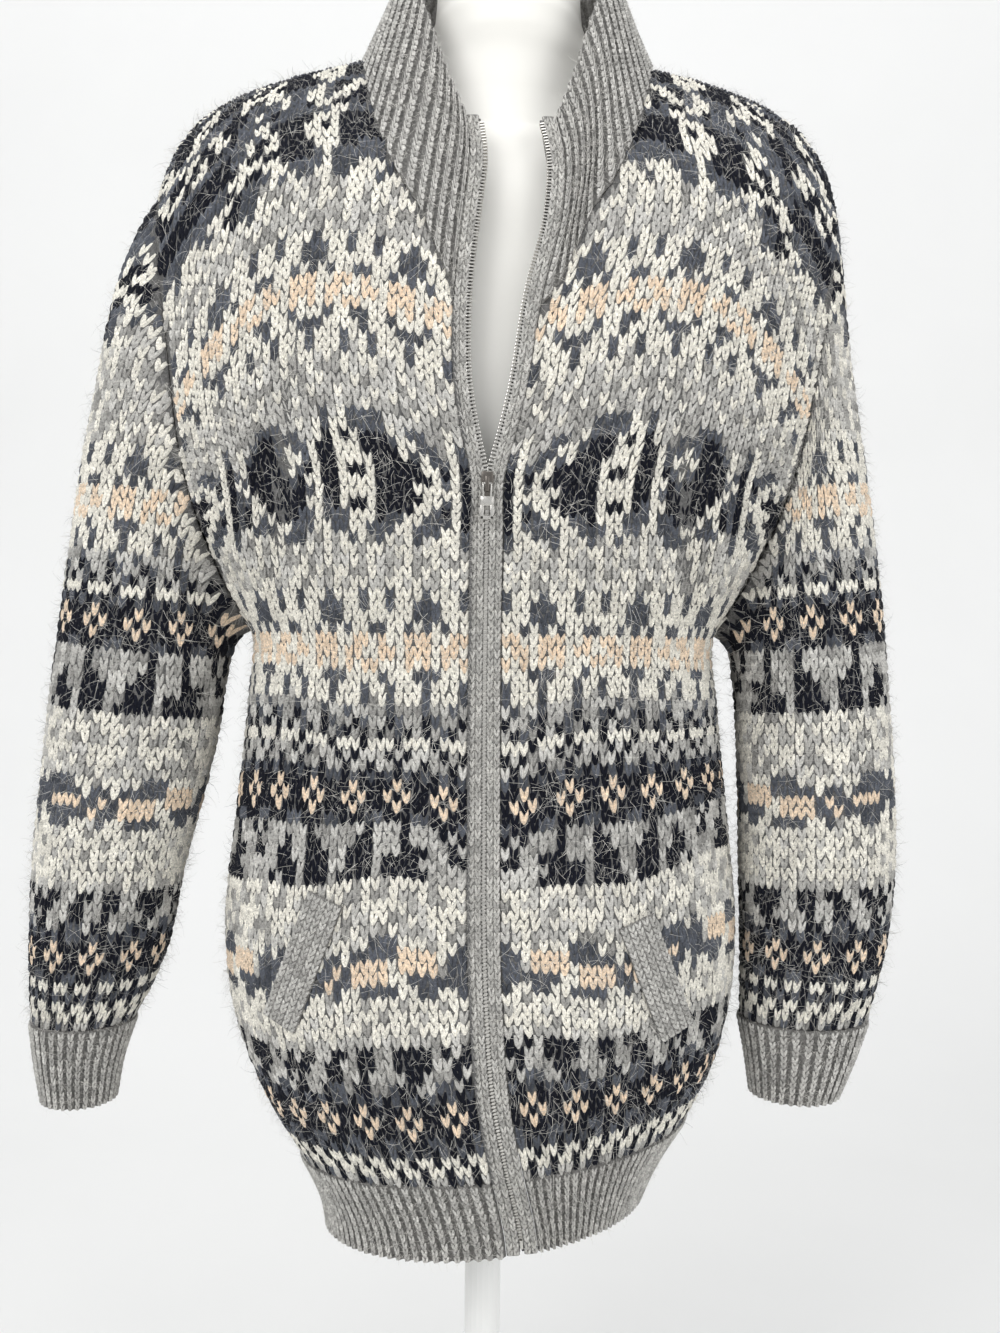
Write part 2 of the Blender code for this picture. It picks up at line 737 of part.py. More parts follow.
def strip(name, side, z, offsets, outward, inward, look):
    """A strip beside the zip: its sides at the given distances from the zip's edge."""
    outer, inner = [], []
    for offset in offsets:
        x = zip_edge(side, z) + side * offset
        point, normal = cloth_point(FRONT, x, z), cloth_normal(FRONT, x, z)
        outer.append(point + normal * outward)
        inner.append(point - normal * inward)
    order = slice(None, None, side)
    wall(name, np.stack(outer[order], axis=1), np.stack(inner[order], axis=1), look)


def make_zip_strips(grids):
    for side, word in ((RIGHT, "right"), (LEFT, "left")):
        z = edge_heights(grids, side)
        sides = (0, BAND_WIDTH / 2, BAND_WIDTH)
        strip(word + "_zip_band", side, z, sides, BAND_PROUD, WALL, GREY_RIB)
        tape_top = WALL + TAPE_GAP
        tape = (-TAPE_EDGE, TAPE_WIDTH)
        strip(word + "_zip_tape", side, z, tape, -tape_top, tape_top + TAPE_THICK, TAPE_CLOTH)


def make_welts():
    for word, (upper, lower) in (("right", RIGHT_WELT), ("left", LEFT_WELT)):
        side = RIGHT if word == "right" else LEFT
        upper, lower = np.array(upper), np.array(lower)
        run = unit(lower - upper)
        across = np.array([-run[1], run[0]]) * WELT_WIDTH / 2
        if across[0] * side < 0:
            across = -across
        share = np.linspace(0, 1, 2 * WELT_RIBS + 1)
        lines = [upper + np.outer(share, lower - upper) + across * w for w in (-1, 0, 1)]
        plain = np.array([cloth_point(FRONT, line[:, 0], line[:, 1]) for line in lines])
        normals = np.array([cloth_normal(FRONT, line[:, 0], line[:, 1]) for line in lines])
        lift = WELT_LIFT + WELT_THICK + WELT_RIB_DEPTH * (np.arange(len(share)) % 2)
        outer = plain + normals * lift[None, :, None]
        wall(word + "_pocket_welt", outer, plain + normals * WELT_LIFT, GREY_RIB)


def shoulder_height(reach):
    """Height of the lower of the two shoulder seams at this distance from the middle."""
    heights = []
    for side in (RIGHT, LEFT):
        x, z = column_ends(side, FRONT)
        heights.append(np.interp(reach, np.abs(x[NECK_COLUMNS:]), z[NECK_COLUMNS:]))
    return float(min(heights))


def form_depth(face, reach, z, below):
    """Depth of the largest half ellipse of this reach that stays clear inside the cloth."""
    depths = []
    for side in (RIGHT, LEFT):
        for column in half_panel(side, face).transpose(1, 0, 2):
            x, y, height = np.abs(column).T
            across = np.interp(z, height, x) / reach
            if across > 0.98:
                continue
            room = min(np.interp(z + below, height, y), np.interp(z, height, y) - FORM_CLEARANCE)
            depths.append(room / np.sqrt(1 - across**2))
    return min(FORM_EASE * float(min(depths)), FORM_NECK_ROOM)


def form_ring(half_x, front, back, z, middle=0.0):
    turn = np.linspace(0, 2 * np.pi, FORM_POINTS, endpoint=False)
    deep = np.where(np.sin(turn) < 0, front, back)
    return np.stack([middle + half_x * np.cos(turn), deep * np.sin(turn), 0 * turn + z], axis=-1)


def lofted(name, rings, look):
    """A closed body through rings of equal counts, capped at both ends."""
    bm = bmesh.new()
    loops = [[bm.verts.new(p) for p in ring] for ring in rings]
    count = len(rings[0])
    for low, high in zip(loops, loops[1:]):
        for j in range(count):
            k = (j + 1) % count
            bm.faces.new((low[j], low[k], high[k], high[j]))
    bm.faces.new(loops[0][::-1])
    bm.faces.new(loops[-1])
    return finished(name, bm, look)


def make_form():
    rings = [form_ring(a, f, b, z) for z, a, f, b in FORM]
    below = WALL * SHOULDER_SLANT + FORM_SHOULDER_GAP
    for reach in np.linspace(FORM_SHOULDER_OUTER, FORM_SHOULDER_INNER, FORM_SHOULDER_STEPS):
        z = shoulder_height(reach) - below
        front, back = (form_depth(face, reach, z, below) for face in (FRONT, BACK))
        rings.append(form_ring(reach, front, back, z))
    for z, across, deep in FORM_NECK:
        rings.append(form_ring(across, deep, deep, z, NECK_AXIS))
    lofted("form_torso", rings, FORM_SKIN)
    top = FORM[0][0] - SEAM
    pole = (
        (BASE_HEIGHT + SEAM, POLE_FLANGE),
        (BASE_HEIGHT + SEAM + POLE_FLANGE_HEIGHT, POLE_FLANGE),
        (BASE_HEIGHT + SEAM + 2 * POLE_FLANGE_HEIGHT, POLE_RADIUS),
        (top, POLE_RADIUS),
    )
    lofted("form_pole", [form_ring(r, r, r, z)[::2] for z, r in pole], STAND_WHITE)
    base = (
        (0, BASE_RADIUS),
        (BASE_HEIGHT - BASE_CHAMFER, BASE_RADIUS),
        (BASE_HEIGHT, BASE_RADIUS - BASE_CHAMFER),
    )
    lofted("form_base", [form_ring(r, r, r, z) for z, r in base], STAND_WHITE)


def box(bm, low, high):
    """A box between two corners, added to a bmesh."""
    low, high = np.array(low), np.array(high)
    made = bmesh.ops.create_cube(bm, size=1)["verts"]
    bmesh.ops.scale(bm, vec=high - low, verts=made)
    bmesh.ops.translate(bm, vec=(low + high) / 2, verts=made)
    return made


def joined(name, boxes, look):
    """One body from boxes that overlap, joined by Boolean unions."""
    main = None
    for index, (low, high) in enumerate(boxes):
        bm = bmesh.new()
        box(bm, low, high)
        made = finished(name if index == 0 else f"{name}_helper_{index}", bm, look, smooth=False)
        if index == 0:
            main = made
            continue
        made.hide_render = True
        made.display_type = "WIRE"
        union = main.modifiers.new(f"join {index}", "BOOLEAN")
        union.operation = "UNION"
        union.solver = "EXACT"
        union.object = made
    return main


def make_slider():
    """Slider body in front of the bands, its stem between them, and a bridge for the pull."""
    z_mid = SLIDER_TOP - SLIDER_LENGTH / 2
    x = float(zip_edge(RIGHT, z_mid) + zip_edge(LEFT, z_mid)) / 2
    z_all = np.linspace(SLIDER_TOP - SLIDER_LENGTH, SLIDER_TOP, 9)
    face = float(cloth_point(FRONT, x + 0 * z_all, z_all)[:, 1].min())
    back_y = face - BAND_PROUD - SEAM - SLIDER_CLEARANCE
    plate_y = back_y - SLIDER_THICK
    low, high = SLIDER_TOP - SLIDER_LENGTH, SLIDER_TOP
    half = SLIDER_WIDTH / 2
    bar_y = plate_y - PULL_BAR_FROM_PLATE
    bar_z = z_mid + PULL_BAR_HEIGHT
    top_y = plate_y - BRIDGE_HEIGHT
    b = BRIDGE_WIDTH / 2
    high_foot, low_foot = bar_z + BRIDGE_LENGTH / 2, bar_z - BRIDGE_LENGTH / 2
    sink = SLIDER_OVERLAP
    stem_low, stem_high = low + STEM_ENDS[0], high - STEM_ENDS[1]
    stem = STEM_HALF_WIDTH
    joined(
        "zip_slider",
        [
            ((x - half, plate_y, low), (x + half, back_y, high)),
            ((x - b, top_y, high_foot - BRIDGE_WALL), (x + b, plate_y + sink, high_foot)),
            ((x - b, top_y, low_foot), (x + b, plate_y + sink, low_foot + BRIDGE_WALL)),
            ((x - b, top_y, low_foot), (x + b, top_y + BRIDGE_WALL, high_foot)),
            ((x - stem, back_y - sink, stem_low), (x + stem, back_y + SLIDER_STEM, stem_high)),
        ],
        ZIP_METAL,
    )
    t, w, g = PULL_THICK / 2, PULL_WIDTH / 2, PULL_WINDOW / 2
    arm = PULL_WINDOW_LENGTH
    tab_end = bar_z - PULL_LENGTH
    joined(
        "zip_pull",
        [
            ((x - w, bar_y - t, tab_end), (x + w, bar_y + t, bar_z - arm)),
            ((x - w, bar_y - t, bar_z - arm - sink), (x - g, bar_y + t, bar_z + t)),
            ((x + g, bar_y - t, bar_z - arm - sink), (x + w, bar_y + t, bar_z + t)),
            ((x - g - sink, bar_y - t, bar_z - t), (x + g + sink, bar_y + t, bar_z + t)),
        ],
        ZIP_METAL,
    )


def make_stop():
    """The small metal stop between the bands at the zip's lower end."""
    width, thick, tall = STOP_SIZE
    low = HEM_HEIGHT + HEM_TILT * float(zip_edge(RIGHT, HEM_HEIGHT)) + STOP_LIFT
    z = np.array([low, low + tall])
    middle = (zip_edge(RIGHT, z) + zip_edge(LEFT, z)) / 2
    outer, inner = [], []
    for aside in (-width / 2, width / 2):
        point, normal = cloth_point(FRONT, middle + aside, z), cloth_normal(FRONT, middle + aside, z)
        outer.append(point)
        inner.append(point - normal * thick)
    wall("zip_bottom_stop", np.stack(outer, axis=1), np.stack(inner, axis=1), ZIP_METAL)


def main():
    for old in list(bpy.data.objects):
        bpy.data.objects.remove(old, do_unlink=True)
    grids, _ = body_panels()
    make_panels()
    make_hem()
    make_cuffs()
    make_collar(grids)
    make_zip_strips(grids)
    make_welts()
    make_slider()
    make_stop()
    make_form()


main()
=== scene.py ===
"""Fair isle zip cardigan of mohair wool on a white limbless dress form.

Metres, +Z up, the front faces -Y. Each knitted piece is a thin shell on its solid's form, with
stitches, ribs and hairs on it.
"""

import json

import bmesh
import bpy
import numpy as np
from mathutils import Matrix, Vector

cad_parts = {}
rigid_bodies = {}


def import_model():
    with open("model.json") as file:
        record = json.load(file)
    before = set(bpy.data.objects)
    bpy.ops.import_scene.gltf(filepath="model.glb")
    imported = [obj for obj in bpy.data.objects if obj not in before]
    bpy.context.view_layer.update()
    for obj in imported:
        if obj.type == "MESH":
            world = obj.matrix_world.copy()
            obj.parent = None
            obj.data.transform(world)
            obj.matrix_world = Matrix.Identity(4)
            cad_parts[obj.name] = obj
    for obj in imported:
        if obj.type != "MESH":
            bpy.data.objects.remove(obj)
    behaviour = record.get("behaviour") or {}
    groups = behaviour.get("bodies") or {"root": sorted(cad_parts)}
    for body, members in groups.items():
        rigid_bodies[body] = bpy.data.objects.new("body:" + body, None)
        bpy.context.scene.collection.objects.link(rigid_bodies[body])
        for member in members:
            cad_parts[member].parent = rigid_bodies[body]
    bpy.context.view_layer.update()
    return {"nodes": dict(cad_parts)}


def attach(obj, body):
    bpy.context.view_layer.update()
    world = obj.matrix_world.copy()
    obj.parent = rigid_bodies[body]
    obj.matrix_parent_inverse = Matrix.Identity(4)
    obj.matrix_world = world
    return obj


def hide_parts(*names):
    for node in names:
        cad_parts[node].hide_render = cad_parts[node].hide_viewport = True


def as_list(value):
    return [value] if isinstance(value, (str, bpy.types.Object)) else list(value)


for old in list(bpy.data.objects):
    bpy.data.objects.remove(old, do_unlink=True)

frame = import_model()
NODES = frame["nodes"]
ROOT = "cardigan_and_form"
RNG = np.random.default_rng(7)

# Worn shape, as in the solids
SEAM = 0.0003
BAND_WIDTH = 0.0085
HEM_HEIGHT = 0.302
HEM_TILT = 0.11
HEM_RIB_HEIGHT = 0.054
ARMPIT = 0.700
SHOULDER_TIP = 1.000
SHOULDER_ROUND = 0.120
NECK_SEAM_FRONT = 0.900
NECK_AXIS = 0.006
COLLAR_CORNER = 1.028
COLLAR_GAP = 0.0010
ARMHOLE_FULLNESS = 0.50
NECK_COLUMNS = 6
NECK_CROWDING = 1.35
SHOULDER_COLUMNS = 5
ROWS_ABOVE = 11

RIGHT, LEFT = -1, 1
FRONT, BACK = -1, 1

# height, right half width, left half width, front depth, back depth
BODY = (
    (0.280, 0.107, 0.103, 0.096, 0.084),
    (0.310, 0.112, 0.108, 0.101, 0.089),
    (0.346, 0.130, 0.124, 0.111, 0.099),
    (0.374, 0.148, 0.142, 0.119, 0.107),
    (0.402, 0.162, 0.156, 0.124, 0.114),
    (0.444, 0.176, 0.168, 0.128, 0.120),
    (0.500, 0.182, 0.172, 0.127, 0.120),
    (0.570, 0.176, 0.166, 0.122, 0.113),
    (0.654, 0.168, 0.157, 0.121, 0.106),
    (0.700, 0.166, 0.154, 0.125, 0.107),
    (0.735, 0.182, 0.171, 0.129, 0.109),
    (0.787, 0.199, 0.192, 0.134, 0.113),
    (0.900, 0.217, 0.216, 0.124, 0.117),
    (1.000, 0.231, 0.230, 0.101, 0.106),
    (1.060, 0.232, 0.231, 0.086, 0.094),
    (1.120, 0.232, 0.231, 0.072, 0.080),
)

# distance from the middle, height of the shoulder line
SHOULDER = (
    (0.000, 1.116),
    (0.098, 1.092),
    (0.155, 1.077),
    (0.190, 1.062),
    (0.212, 1.044),
    (0.225, 1.022),
    (0.232, 1.000),
)

# height, right edge, left edge of the zip opening
ZIP_EDGES = (
    (0.280, 0.0265, 0.0295),
    (0.320, 0.0225, 0.0255),
    (0.363, 0.0133, 0.0163),
    (0.413, 0.0040, 0.0070),
    (0.474, -0.0010, 0.0020),
    (0.600, -0.0040, -0.0010),
    (0.757, -0.0045, -0.0015),
    (0.797, -0.0048, -0.0008),
    (0.820, -0.0098, 0.0048),
    (0.845, -0.0145, 0.0105),
    (0.910, -0.0165, 0.0205),
    (0.965, -0.0115, 0.0325),
    (1.000, -0.0085, 0.0335),
    (1.028, -0.0120, 0.0280),
)

# share of the way from the zip band to the shoulder, distance from the neck's axis, height
FRONT_NECK = (
    (0.00, 0.026, 0.900),
    (0.20, 0.040, 0.930),
    (0.40, 0.054, 0.964),
    (0.60, 0.070, 0.990),
    (0.80, 0.085, 1.032),
    (1.00, 0.098, 1.0906),
)
BACK_NECK = (
    (0.00, 0.000, 1.066),
    (0.35, 0.040, 1.070),
    (0.70, 0.078, 1.080),
    (1.00, 0.098, 1.0906),
)

# share of the way from the front corner to the middle of the back,
# distance from the neck's axis, depth, height
COLLAR_TOP = (
    (0.00, 0.0270, -0.0950, 1.028),
    (0.14, 0.0400, -0.0850, 1.062),
    (0.30, 0.0560, -0.0640, 1.112),
    (0.50, 0.0730, -0.0180, 1.146),
    (0.72, 0.0640, 0.0380, 1.160),
    (1.00, 0.0000, 0.0640, 1.166),
)
COLLAR_HOLLOW = 0.002
COLLAR_EDGE_COLUMNS = 24
COLLAR_RIBS = 56

# x, height, lean, half width, half length, depth as a share of the wall's distance
FOLDS = (
    (-0.133, 0.790, 0.06, 0.012, 0.085, 0.100),
    (0.122, 0.765, -0.05, 0.012, 0.075, 0.100),
    (-0.172, 0.735, -0.80, 0.010, 0.030, 0.150),
    (0.160, 0.730, 0.85, 0.010, 0.030, 0.150),
    (0.146, 0.520, 0.18, 0.012, 0.075, 0.070),
    (-0.150, 0.560, -0.12, 0.012, 0.060, 0.060),
)

# inner x, inner height, outer x, outer height, half depth
RIGHT_SLEEVE = (
    (0.166, 0.700, 0.231, 1.000, 0.062),
    (0.176, 0.694, 0.250, 0.968, 0.064),
    (0.181, 0.686, 0.264, 0.925, 0.066),
    (0.184, 0.676, 0.273, 0.878, 0.067),
    (0.186, 0.665, 0.282, 0.830, 0.067),
    (0.188, 0.652, 0.290, 0.776, 0.066),
    (0.190, 0.636, 0.297, 0.722, 0.064),
    (0.194, 0.614, 0.304, 0.668, 0.062),
    (0.201, 0.584, 0.310, 0.612, 0.060),
    (0.214, 0.534, 0.316, 0.548, 0.057),
    (0.223, 0.486, 0.3185, 0.490, 0.053),
    (0.236, 0.450, 0.3180, 0.452, 0.048),
    (0.248, 0.428, 0.3170, 0.428, 0.042),
)
LEFT_SLEEVE = (
    (0.154, 0.700, 0.230, 1.000, 0.062),
    (0.163, 0.694, 0.236, 0.962, 0.064),
    (0.167, 0.686, 0.241, 0.918, 0.066),
    (0.169, 0.676, 0.248, 0.872, 0.067),
    (0.1705, 0.665, 0.256, 0.824, 0.067),
    (0.172, 0.652, 0.264, 0.770, 0.066),
    (0.173, 0.636, 0.271, 0.716, 0.064),
    (0.174, 0.614, 0.276, 0.662, 0.062),
    (0.175, 0.584, 0.281, 0.606, 0.060),
    (0.1765, 0.534, 0.283, 0.546, 0.057),
    (0.178, 0.490, 0.279, 0.494, 0.054),
    (0.1785, 0.458, 0.272, 0.460, 0.050),
    (0.1785, 0.436, 0.2660, 0.436, 0.044),
)
SLEEVE_BLEND_RINGS = 4

# drop under the sleeve's end, inner x, outer x, half depth
RIGHT_CUFF = (
    (0.000, 0.248, 0.317, 0.042),
    (0.028, 0.257, 0.314, 0.034),
    (0.057, 0.262, 0.309, 0.029),
)
LEFT_CUFF = (
    (0.000, 0.1785, 0.266, 0.044),
    (0.027, 0.184, 0.257, 0.038),
    (0.054, 0.188, 0.246, 0.033),
)

# Upper and lower end of each pocket welt at its middle line: x, height
RIGHT_WELT = ((-0.098, 0.540), (-0.132, 0.448))
LEFT_WELT = ((0.091, 0.528), (0.123, 0.446))
WELT_WIDTH = 0.024

# Knit: stitches from the zip band to the side seam, size of a stitch
BODY_COLUMNS = 37
STITCH_WIDTH = 0.0062
ROW_HEIGHT = 0.0070
ROWS_BELOW = 49
SLEEVE_COLUMNS = 56
STITCH_DEPTH = 0.0016

# The fair isle, from the top row down. W cream, G light grey, S slate, N navy, P peach.
# Each row repeats across the garment from the zip outwards.
SHOULDER_ROWS = (
    "SNNSSNNSSNNNSSNNSSNNNSSNNSS",
    "NNNNNNNNNNNNNNNNNNNNNNNNNNN",
    "SSWSSNNNSSWSSSWWSSSSSSNSWSS",
    "NSWWNNNNNWWNNNWWWNNNNNSWSSN",
    "NNWNWNNNWNWNNNWNWWNNNWNNWNN",
    "NNNWWNNNWWNNNNWWWWNNNWWNNWN",
    "SSSSWWSWWSSSNNWWWNNNNNWWWWS",
    "SSSSSSWSSSSSSSSWSNNNNWWNNWN",
    "NWWNWWNNWWNWWNNSWSSSSWWSSNN",
    "NWNNNWNNWNNNWWNSWWSSWSSSSNN",
    "WWNWNNWWNNWNNWWSWWSSWSSWSSN",
    "SNNWWNSNNWWNSNNWWNSSSNSSSSN",
)
BIG = (
    "SSSSSSSSSSSSSWWSSSSSSSWWSSS",
    "NNNNNNNNNNNNNNWWWNNNNNWSWSS",
    "NNNNNNNNNNNNNNWNWWNNNWNNWSS",
    "NNNNNNNNNNNNNNWWWWNNNWWNNWN",
    "SSSSSSSSSSSSNNWWWNNNNNNWWWW",
    "SSSSSSSSSSSSSSSWSNNNNWWNNWN",
    "WWSWWSWWSWWWSSSWSSSSWWSSSNW",
    "WSWWWSWWWSWWWSSWWSSWSWGSSNN",
    "GWGWWGWGWWGWWGGWGGWGGGWSSNW",
)
CREAMY = (
    "WGWWGWWGWWGWWGWWGWGGWWWSWGW",
    "GWGGWGGWGWGGWGGWGGWGGWGWGWG",
)
GREY = (
    "GGWGGGGWGGGGWGGGGWGGGGWGGGG",
    "WGGGWGGGGWGGGGWGGGGWGGGGWGG",
)
STARS_DOWN = (
    "SWWWSWWWSWW",
    "SWWSSSWWSWW",
    "WWWSSSWWWWW",
    "WWSWSWSWWSS",
)
PEACH = (
    "PPWWPPPWWPW",
    "WPPWPPPWPPW",
    "PWPWPWPWWWP",
)
STARS_UP = (
    "WWSWWWSWWSS",
    "WWWSSSWWWSW",
    "SWWWSWWWSWW",
    "SWWWSWWWSWG",
)
GREY_CREAM = (
    "WGWWGWGGWWGWG",
    "GGWGGWGGWGGWG",
    "GWGGWGGGGGWGG",
    "GGWGGGWGWGGGW",
    "GGGGWGGGGWGGG",
)
EYES = (
    "GWGGGGGGSSSSWGSGGGGGGGGGGGG",
    "SWGGSSGWSSSSWWSWGWGGSSSGGGG",
    "SWGSSWWSNNNWNWNWGGSSSNNSGWG",
    "NWSSWSWNNNNWWWNNWSSWSNNNSWG",
    "NWNWWNNNNNWWWWNNWSWWWNNNNWS",
    "NWSWNNNNNNWNNWNNWNSWSNNNNSW",
    "NWWWWWNNNNWWWWNNWWNSNNNNNWS",
    "NWSWWNNNNNWWWWNNWSNNNNNNWSS",
    "NWNSWWNNNNWNNWNSWWNNNNNWWNS",
    "NWSSSWWSSNWWWSSSWSSNNNWSWNS",
    "SWWSSSWWSSSWWSSWWSSSWWSSSWG",
    "SWWWGSWGWSGWSWGWGGSSSWWGWGG",
    "GWGWWGWWGWWGWWGWGWGWGWWGWGG",
)
FADE = (
    "WGGWGGWGGGWG",
    "GWWGWGWWGGWG",
    "WGWGGWGWWGGW",
)
DOTS = (
    "GSGGSGGGSGGG",
    "NGGSNGGSNGGS",
    "GNSGNGNSGNGN",
    "WWWNWWWNWWWN",
    "NGNGGGNGNGGG",
    "GNGGNGGNGGNG",
)
FLOWERS = (
    "SNSNSNSNSNSNSNS",
    "NNPNNNNPNNNNPNN",
    "NPNPNNPNPNNPNPN",
    "NNPNNNNPNNNNPNN",
    "SNNNSSNNNSSNNNS",
)
CRESCENTS = (
    "NGNGGGNGGGNGGGGGGNGGGGGG",
    "GNGGGGNGGGNNGGGGNNGGNGGG",
    "NNGGNNNGGGNNNGGNNNGGNNGG",
    "GGGGGNNNNGNNNGGNNNGNNNGG",
    "GGGGNNNNNGNNNNGNNNGNNGNG",
)
STRIPES = (
    "WWWGWWWWGWWG",
    "GWGGWGGWGGWG",
    "WWWWGGWWWWWG",
    "GWWWGWGGWWGG",
    "GGWGGGGWGGGW",
)
DASHES = (
    "SWWGWWWSSSWGWWGWWSSSSW",
    "SSWPPPPSSSSSWSSWSSSSSS",
    "SSGPPPPWPPPPSPSSPPPPSS",
    "SSSSSSWWPPPPSSPSSSSSSW",
    "SWWSSWWSSSSWWSGWWSSSWW",
)
PLAIN = (
    "WWGWWWGWWWGW",
    "GWWWGWWWGWWW",
    "WWWWWGWWWWGW",
    "GGWGGGWGGWGG",
)
HOOKS = (
    "NGNGNNNNGGNNGNNGGNNG",
    "NNGGNNNNGGNNGGNNGGNN",
    "GNGGGNNGGGGNGGNNGGGN",
    "NGSSGGNNSGGNNGSSNGGN",
)
HEM_DOTS = (
    "SNSNSNSNSNSN",
    "WWNWWNWWNWWN",
    "WNWWNWWNWWNW",
    "GNGSNGGNGSNG",
)
BODY_CHART = (
    SHOULDER_ROWS + SHOULDER_ROWS + BIG + CREAMY + GREY + STARS_DOWN + PEACH + STARS_UP
    + GREY_CREAM + EYES + FADE + STARS_DOWN + PEACH + STARS_UP[1:] + DOTS + FLOWERS
    + CRESCENTS + STRIPES + DASHES + PLAIN + HOOKS + FLOWERS + HEM_DOTS
)
SLEEVE_CHART = (
    SHOULDER_ROWS + BIG + CREAMY + GREY_CREAM + FADE + STARS_DOWN + PEACH + STARS_UP[1:]
    + DOTS[:4] + FLOWERS + CRESCENTS[:1] + CRESCENTS + STRIPES[3:4] + STRIPES + DASHES
    + PLAIN[:2] + PLAIN + HOOKS + FLOWERS + HEM_DOTS[1:2] + HEM_DOTS
)
YARNS = {
    "W": (0.78, 0.75, 0.67),
    "G": (0.45, 0.44, 0.415),
    "S": (0.085, 0.092, 0.108),
    "N": (0.0075, 0.0085, 0.0145),
    "P": (0.80, 0.645, 0.49),
}
YARN_UNEVEN = {"W": 0.20, "G": 0.80, "S": 0.60, "N": 0.40, "P": 0.14}
RIB_GREY = (0.46, 0.45, 0.425)

# Length over which the rows turn over the shoulder
SHOULDER_REACH = 0.110

# The rows hang lower beside the zip and at the armhole than in the middle of a front
SAG_MIDDLE = 0.112
SAG_AT_ZIP = 0.020
SAG_AT_ARMHOLE = 0.050
SAG_HEIGHT = 0.200

# Unevenness of the rows: height, turn along x, turn per row, start
ROW_WAVES = (
    (0.0045, 27, 0.13, 0.0),
    (0.0025, 61, -0.09, 1.3),
)

# Fall of the sleeve's rows from its inner to its outer side
SLEEVE_SLANT = 0.16

# Shells: how many times closer than the solid's points, and how deep under the stitches
FINE = 3
SUNK = 0.0011

# Stitches over a half of the body and over a sleeve
BODY_STITCHES = (46, 121)
SLEEVE_ROWS = 88

# Ribs and rows of the ribbed pieces. The collar's rings have two points to each COLLAR_RIBS.
COLLAR_ROWS = 28
HEM_RIBS = 28
HEM_ROWS = 11
CUFF_RIBS = 32
CUFF_ROWS = 12
RIB_RISE = 0.0025
COLLAR_CHAINS = 52

# Mohair: thickness, usual colour, then how many hairs and their lengths
HAIR_WIDTH = 0.00020
HAIR_COLOUR = np.array((0.70, 0.68, 0.63))
GREY_HAIR = (0.42, 0.41, 0.395)
SLATE_HAIR = (0.08, 0.085, 0.10)
FRONT_HAIRS = 11000
BACK_HAIRS = 8000
SLEEVE_HAIRS = 11000
COLLAR_HAIRS = 4500
RIB_HAIRS = 1400
LONG_HAIR = (0.007, 0.021)
COLLAR_HAIR = (0.005, 0.013)
RIB_HAIR = (0.004, 0.011)

# Strips beside the zip: stitches across and up
BAND_STITCHES = (2, 150)

# Zip
SLIDER_STEM = 0.0022
SLIDER_PLATE = 0.0018
SLIDER_WAISTS = (0.72, 0.66, 0.98, 0.86)
TOOTH_PITCH = 0.0023
SLIDER_MIDDLE = 0.789
CLOSED_TEETH_DEEP = 0.0028
OPEN_TEETH_DEEP = 0.0011
TOOTH_SIZE = (0.0034, 0.0024, 0.0012)
TOOTH_PAST_EDGE = 0.0010

# height, half width, depth in front, depth behind, middle
FORM_SKIN = (
    (0.440, 0.120, 0.078, 0.082, 0.0),
    (0.446, 0.138, 0.092, 0.094, 0.0),
    (0.500, 0.146, 0.096, 0.104, 0.0),
    (0.580, 0.134, 0.088, 0.094, 0.0),
    (0.660, 0.116, 0.084, 0.080, 0.0),
    (0.730, 0.128, 0.098, 0.086, 0.0),
    (0.800, 0.142, 0.117, 0.094, 0.0),
    (0.870, 0.156, 0.108, 0.098, 0.0),
    (0.930, 0.174, 0.096, 0.096, 0.0),
    (0.980, 0.188, 0.084, 0.088, 0.0),
    (1.020, 0.191, 0.055, 0.065, 0.0),
    (1.044, 0.187, 0.035, 0.044, 0.0),
    (1.058, 0.180, 0.025, 0.030, 0.001),
    (1.068, 0.158, 0.026, 0.031, 0.002),
    (1.076, 0.136, 0.028, 0.033, 0.003),
    (1.083, 0.110, 0.031, 0.036, 0.004),
    (1.088, 0.086, 0.036, 0.040, 0.005),
    (1.094, 0.066, 0.043, 0.045, 0.006),
    (1.102, 0.056, 0.0490, 0.0490, 0.006),
    (1.118, 0.0512, 0.0510, 0.0510, 0.006),
    (1.150, 0.0485, 0.0485, 0.0485, 0.006),
    (1.186, 0.0490, 0.0490, 0.0490, 0.006),
    (1.196, 0.0440, 0.0440, 0.0440, 0.006),
    (1.200, 0.0300, 0.0300, 0.0300, 0.006),
)
# height, depth, half width of the throat, which runs from the neck into the chest
THROAT = (
    (0.940, 0.020, 0.070),
    (0.970, 0.060, 0.076),
    (0.990, 0.074, 0.079),
    (1.020, 0.069, 0.076),
    (1.050, 0.0615, 0.071),
    (1.075, 0.0565, 0.065),
    (1.100, 0.0525, 0.058),
    (1.118, 0.0500, 0.0515),
    (1.135, 0.0300, 0.0400),
)
FORM_COLUMNS = 72

SIDES = ((RIGHT, "right"), (LEFT, "left"))


def read(table, column, at):
    """One column of a table at the given places, as a smooth curve through its rows."""
    rows = np.array(table)
    place, value = rows[:, 0], rows[:, column]
    slope = np.gradient(value, place)
    at = np.clip(at, place[0], place[-1])
    i = np.clip(np.searchsorted(place, at) - 1, 0, len(place) - 2)
    step = place[i + 1] - place[i]
    t = (at - place[i]) / step
    ends = (2 * t**3 - 3 * t**2 + 1) * value[i] + (3 * t**2 - 2 * t**3) * value[i + 1]
    bends = (t**3 - 2 * t**2 + t) * slope[i] + (t**3 - t**2) * slope[i + 1]
    return ends + bends * step


def unit(vectors):
    return vectors / np.maximum(np.linalg.norm(vectors, axis=-1, keepdims=True), 1e-12)


def half_width(side, z):
    return read(BODY, 1 if side == RIGHT else 2, z)


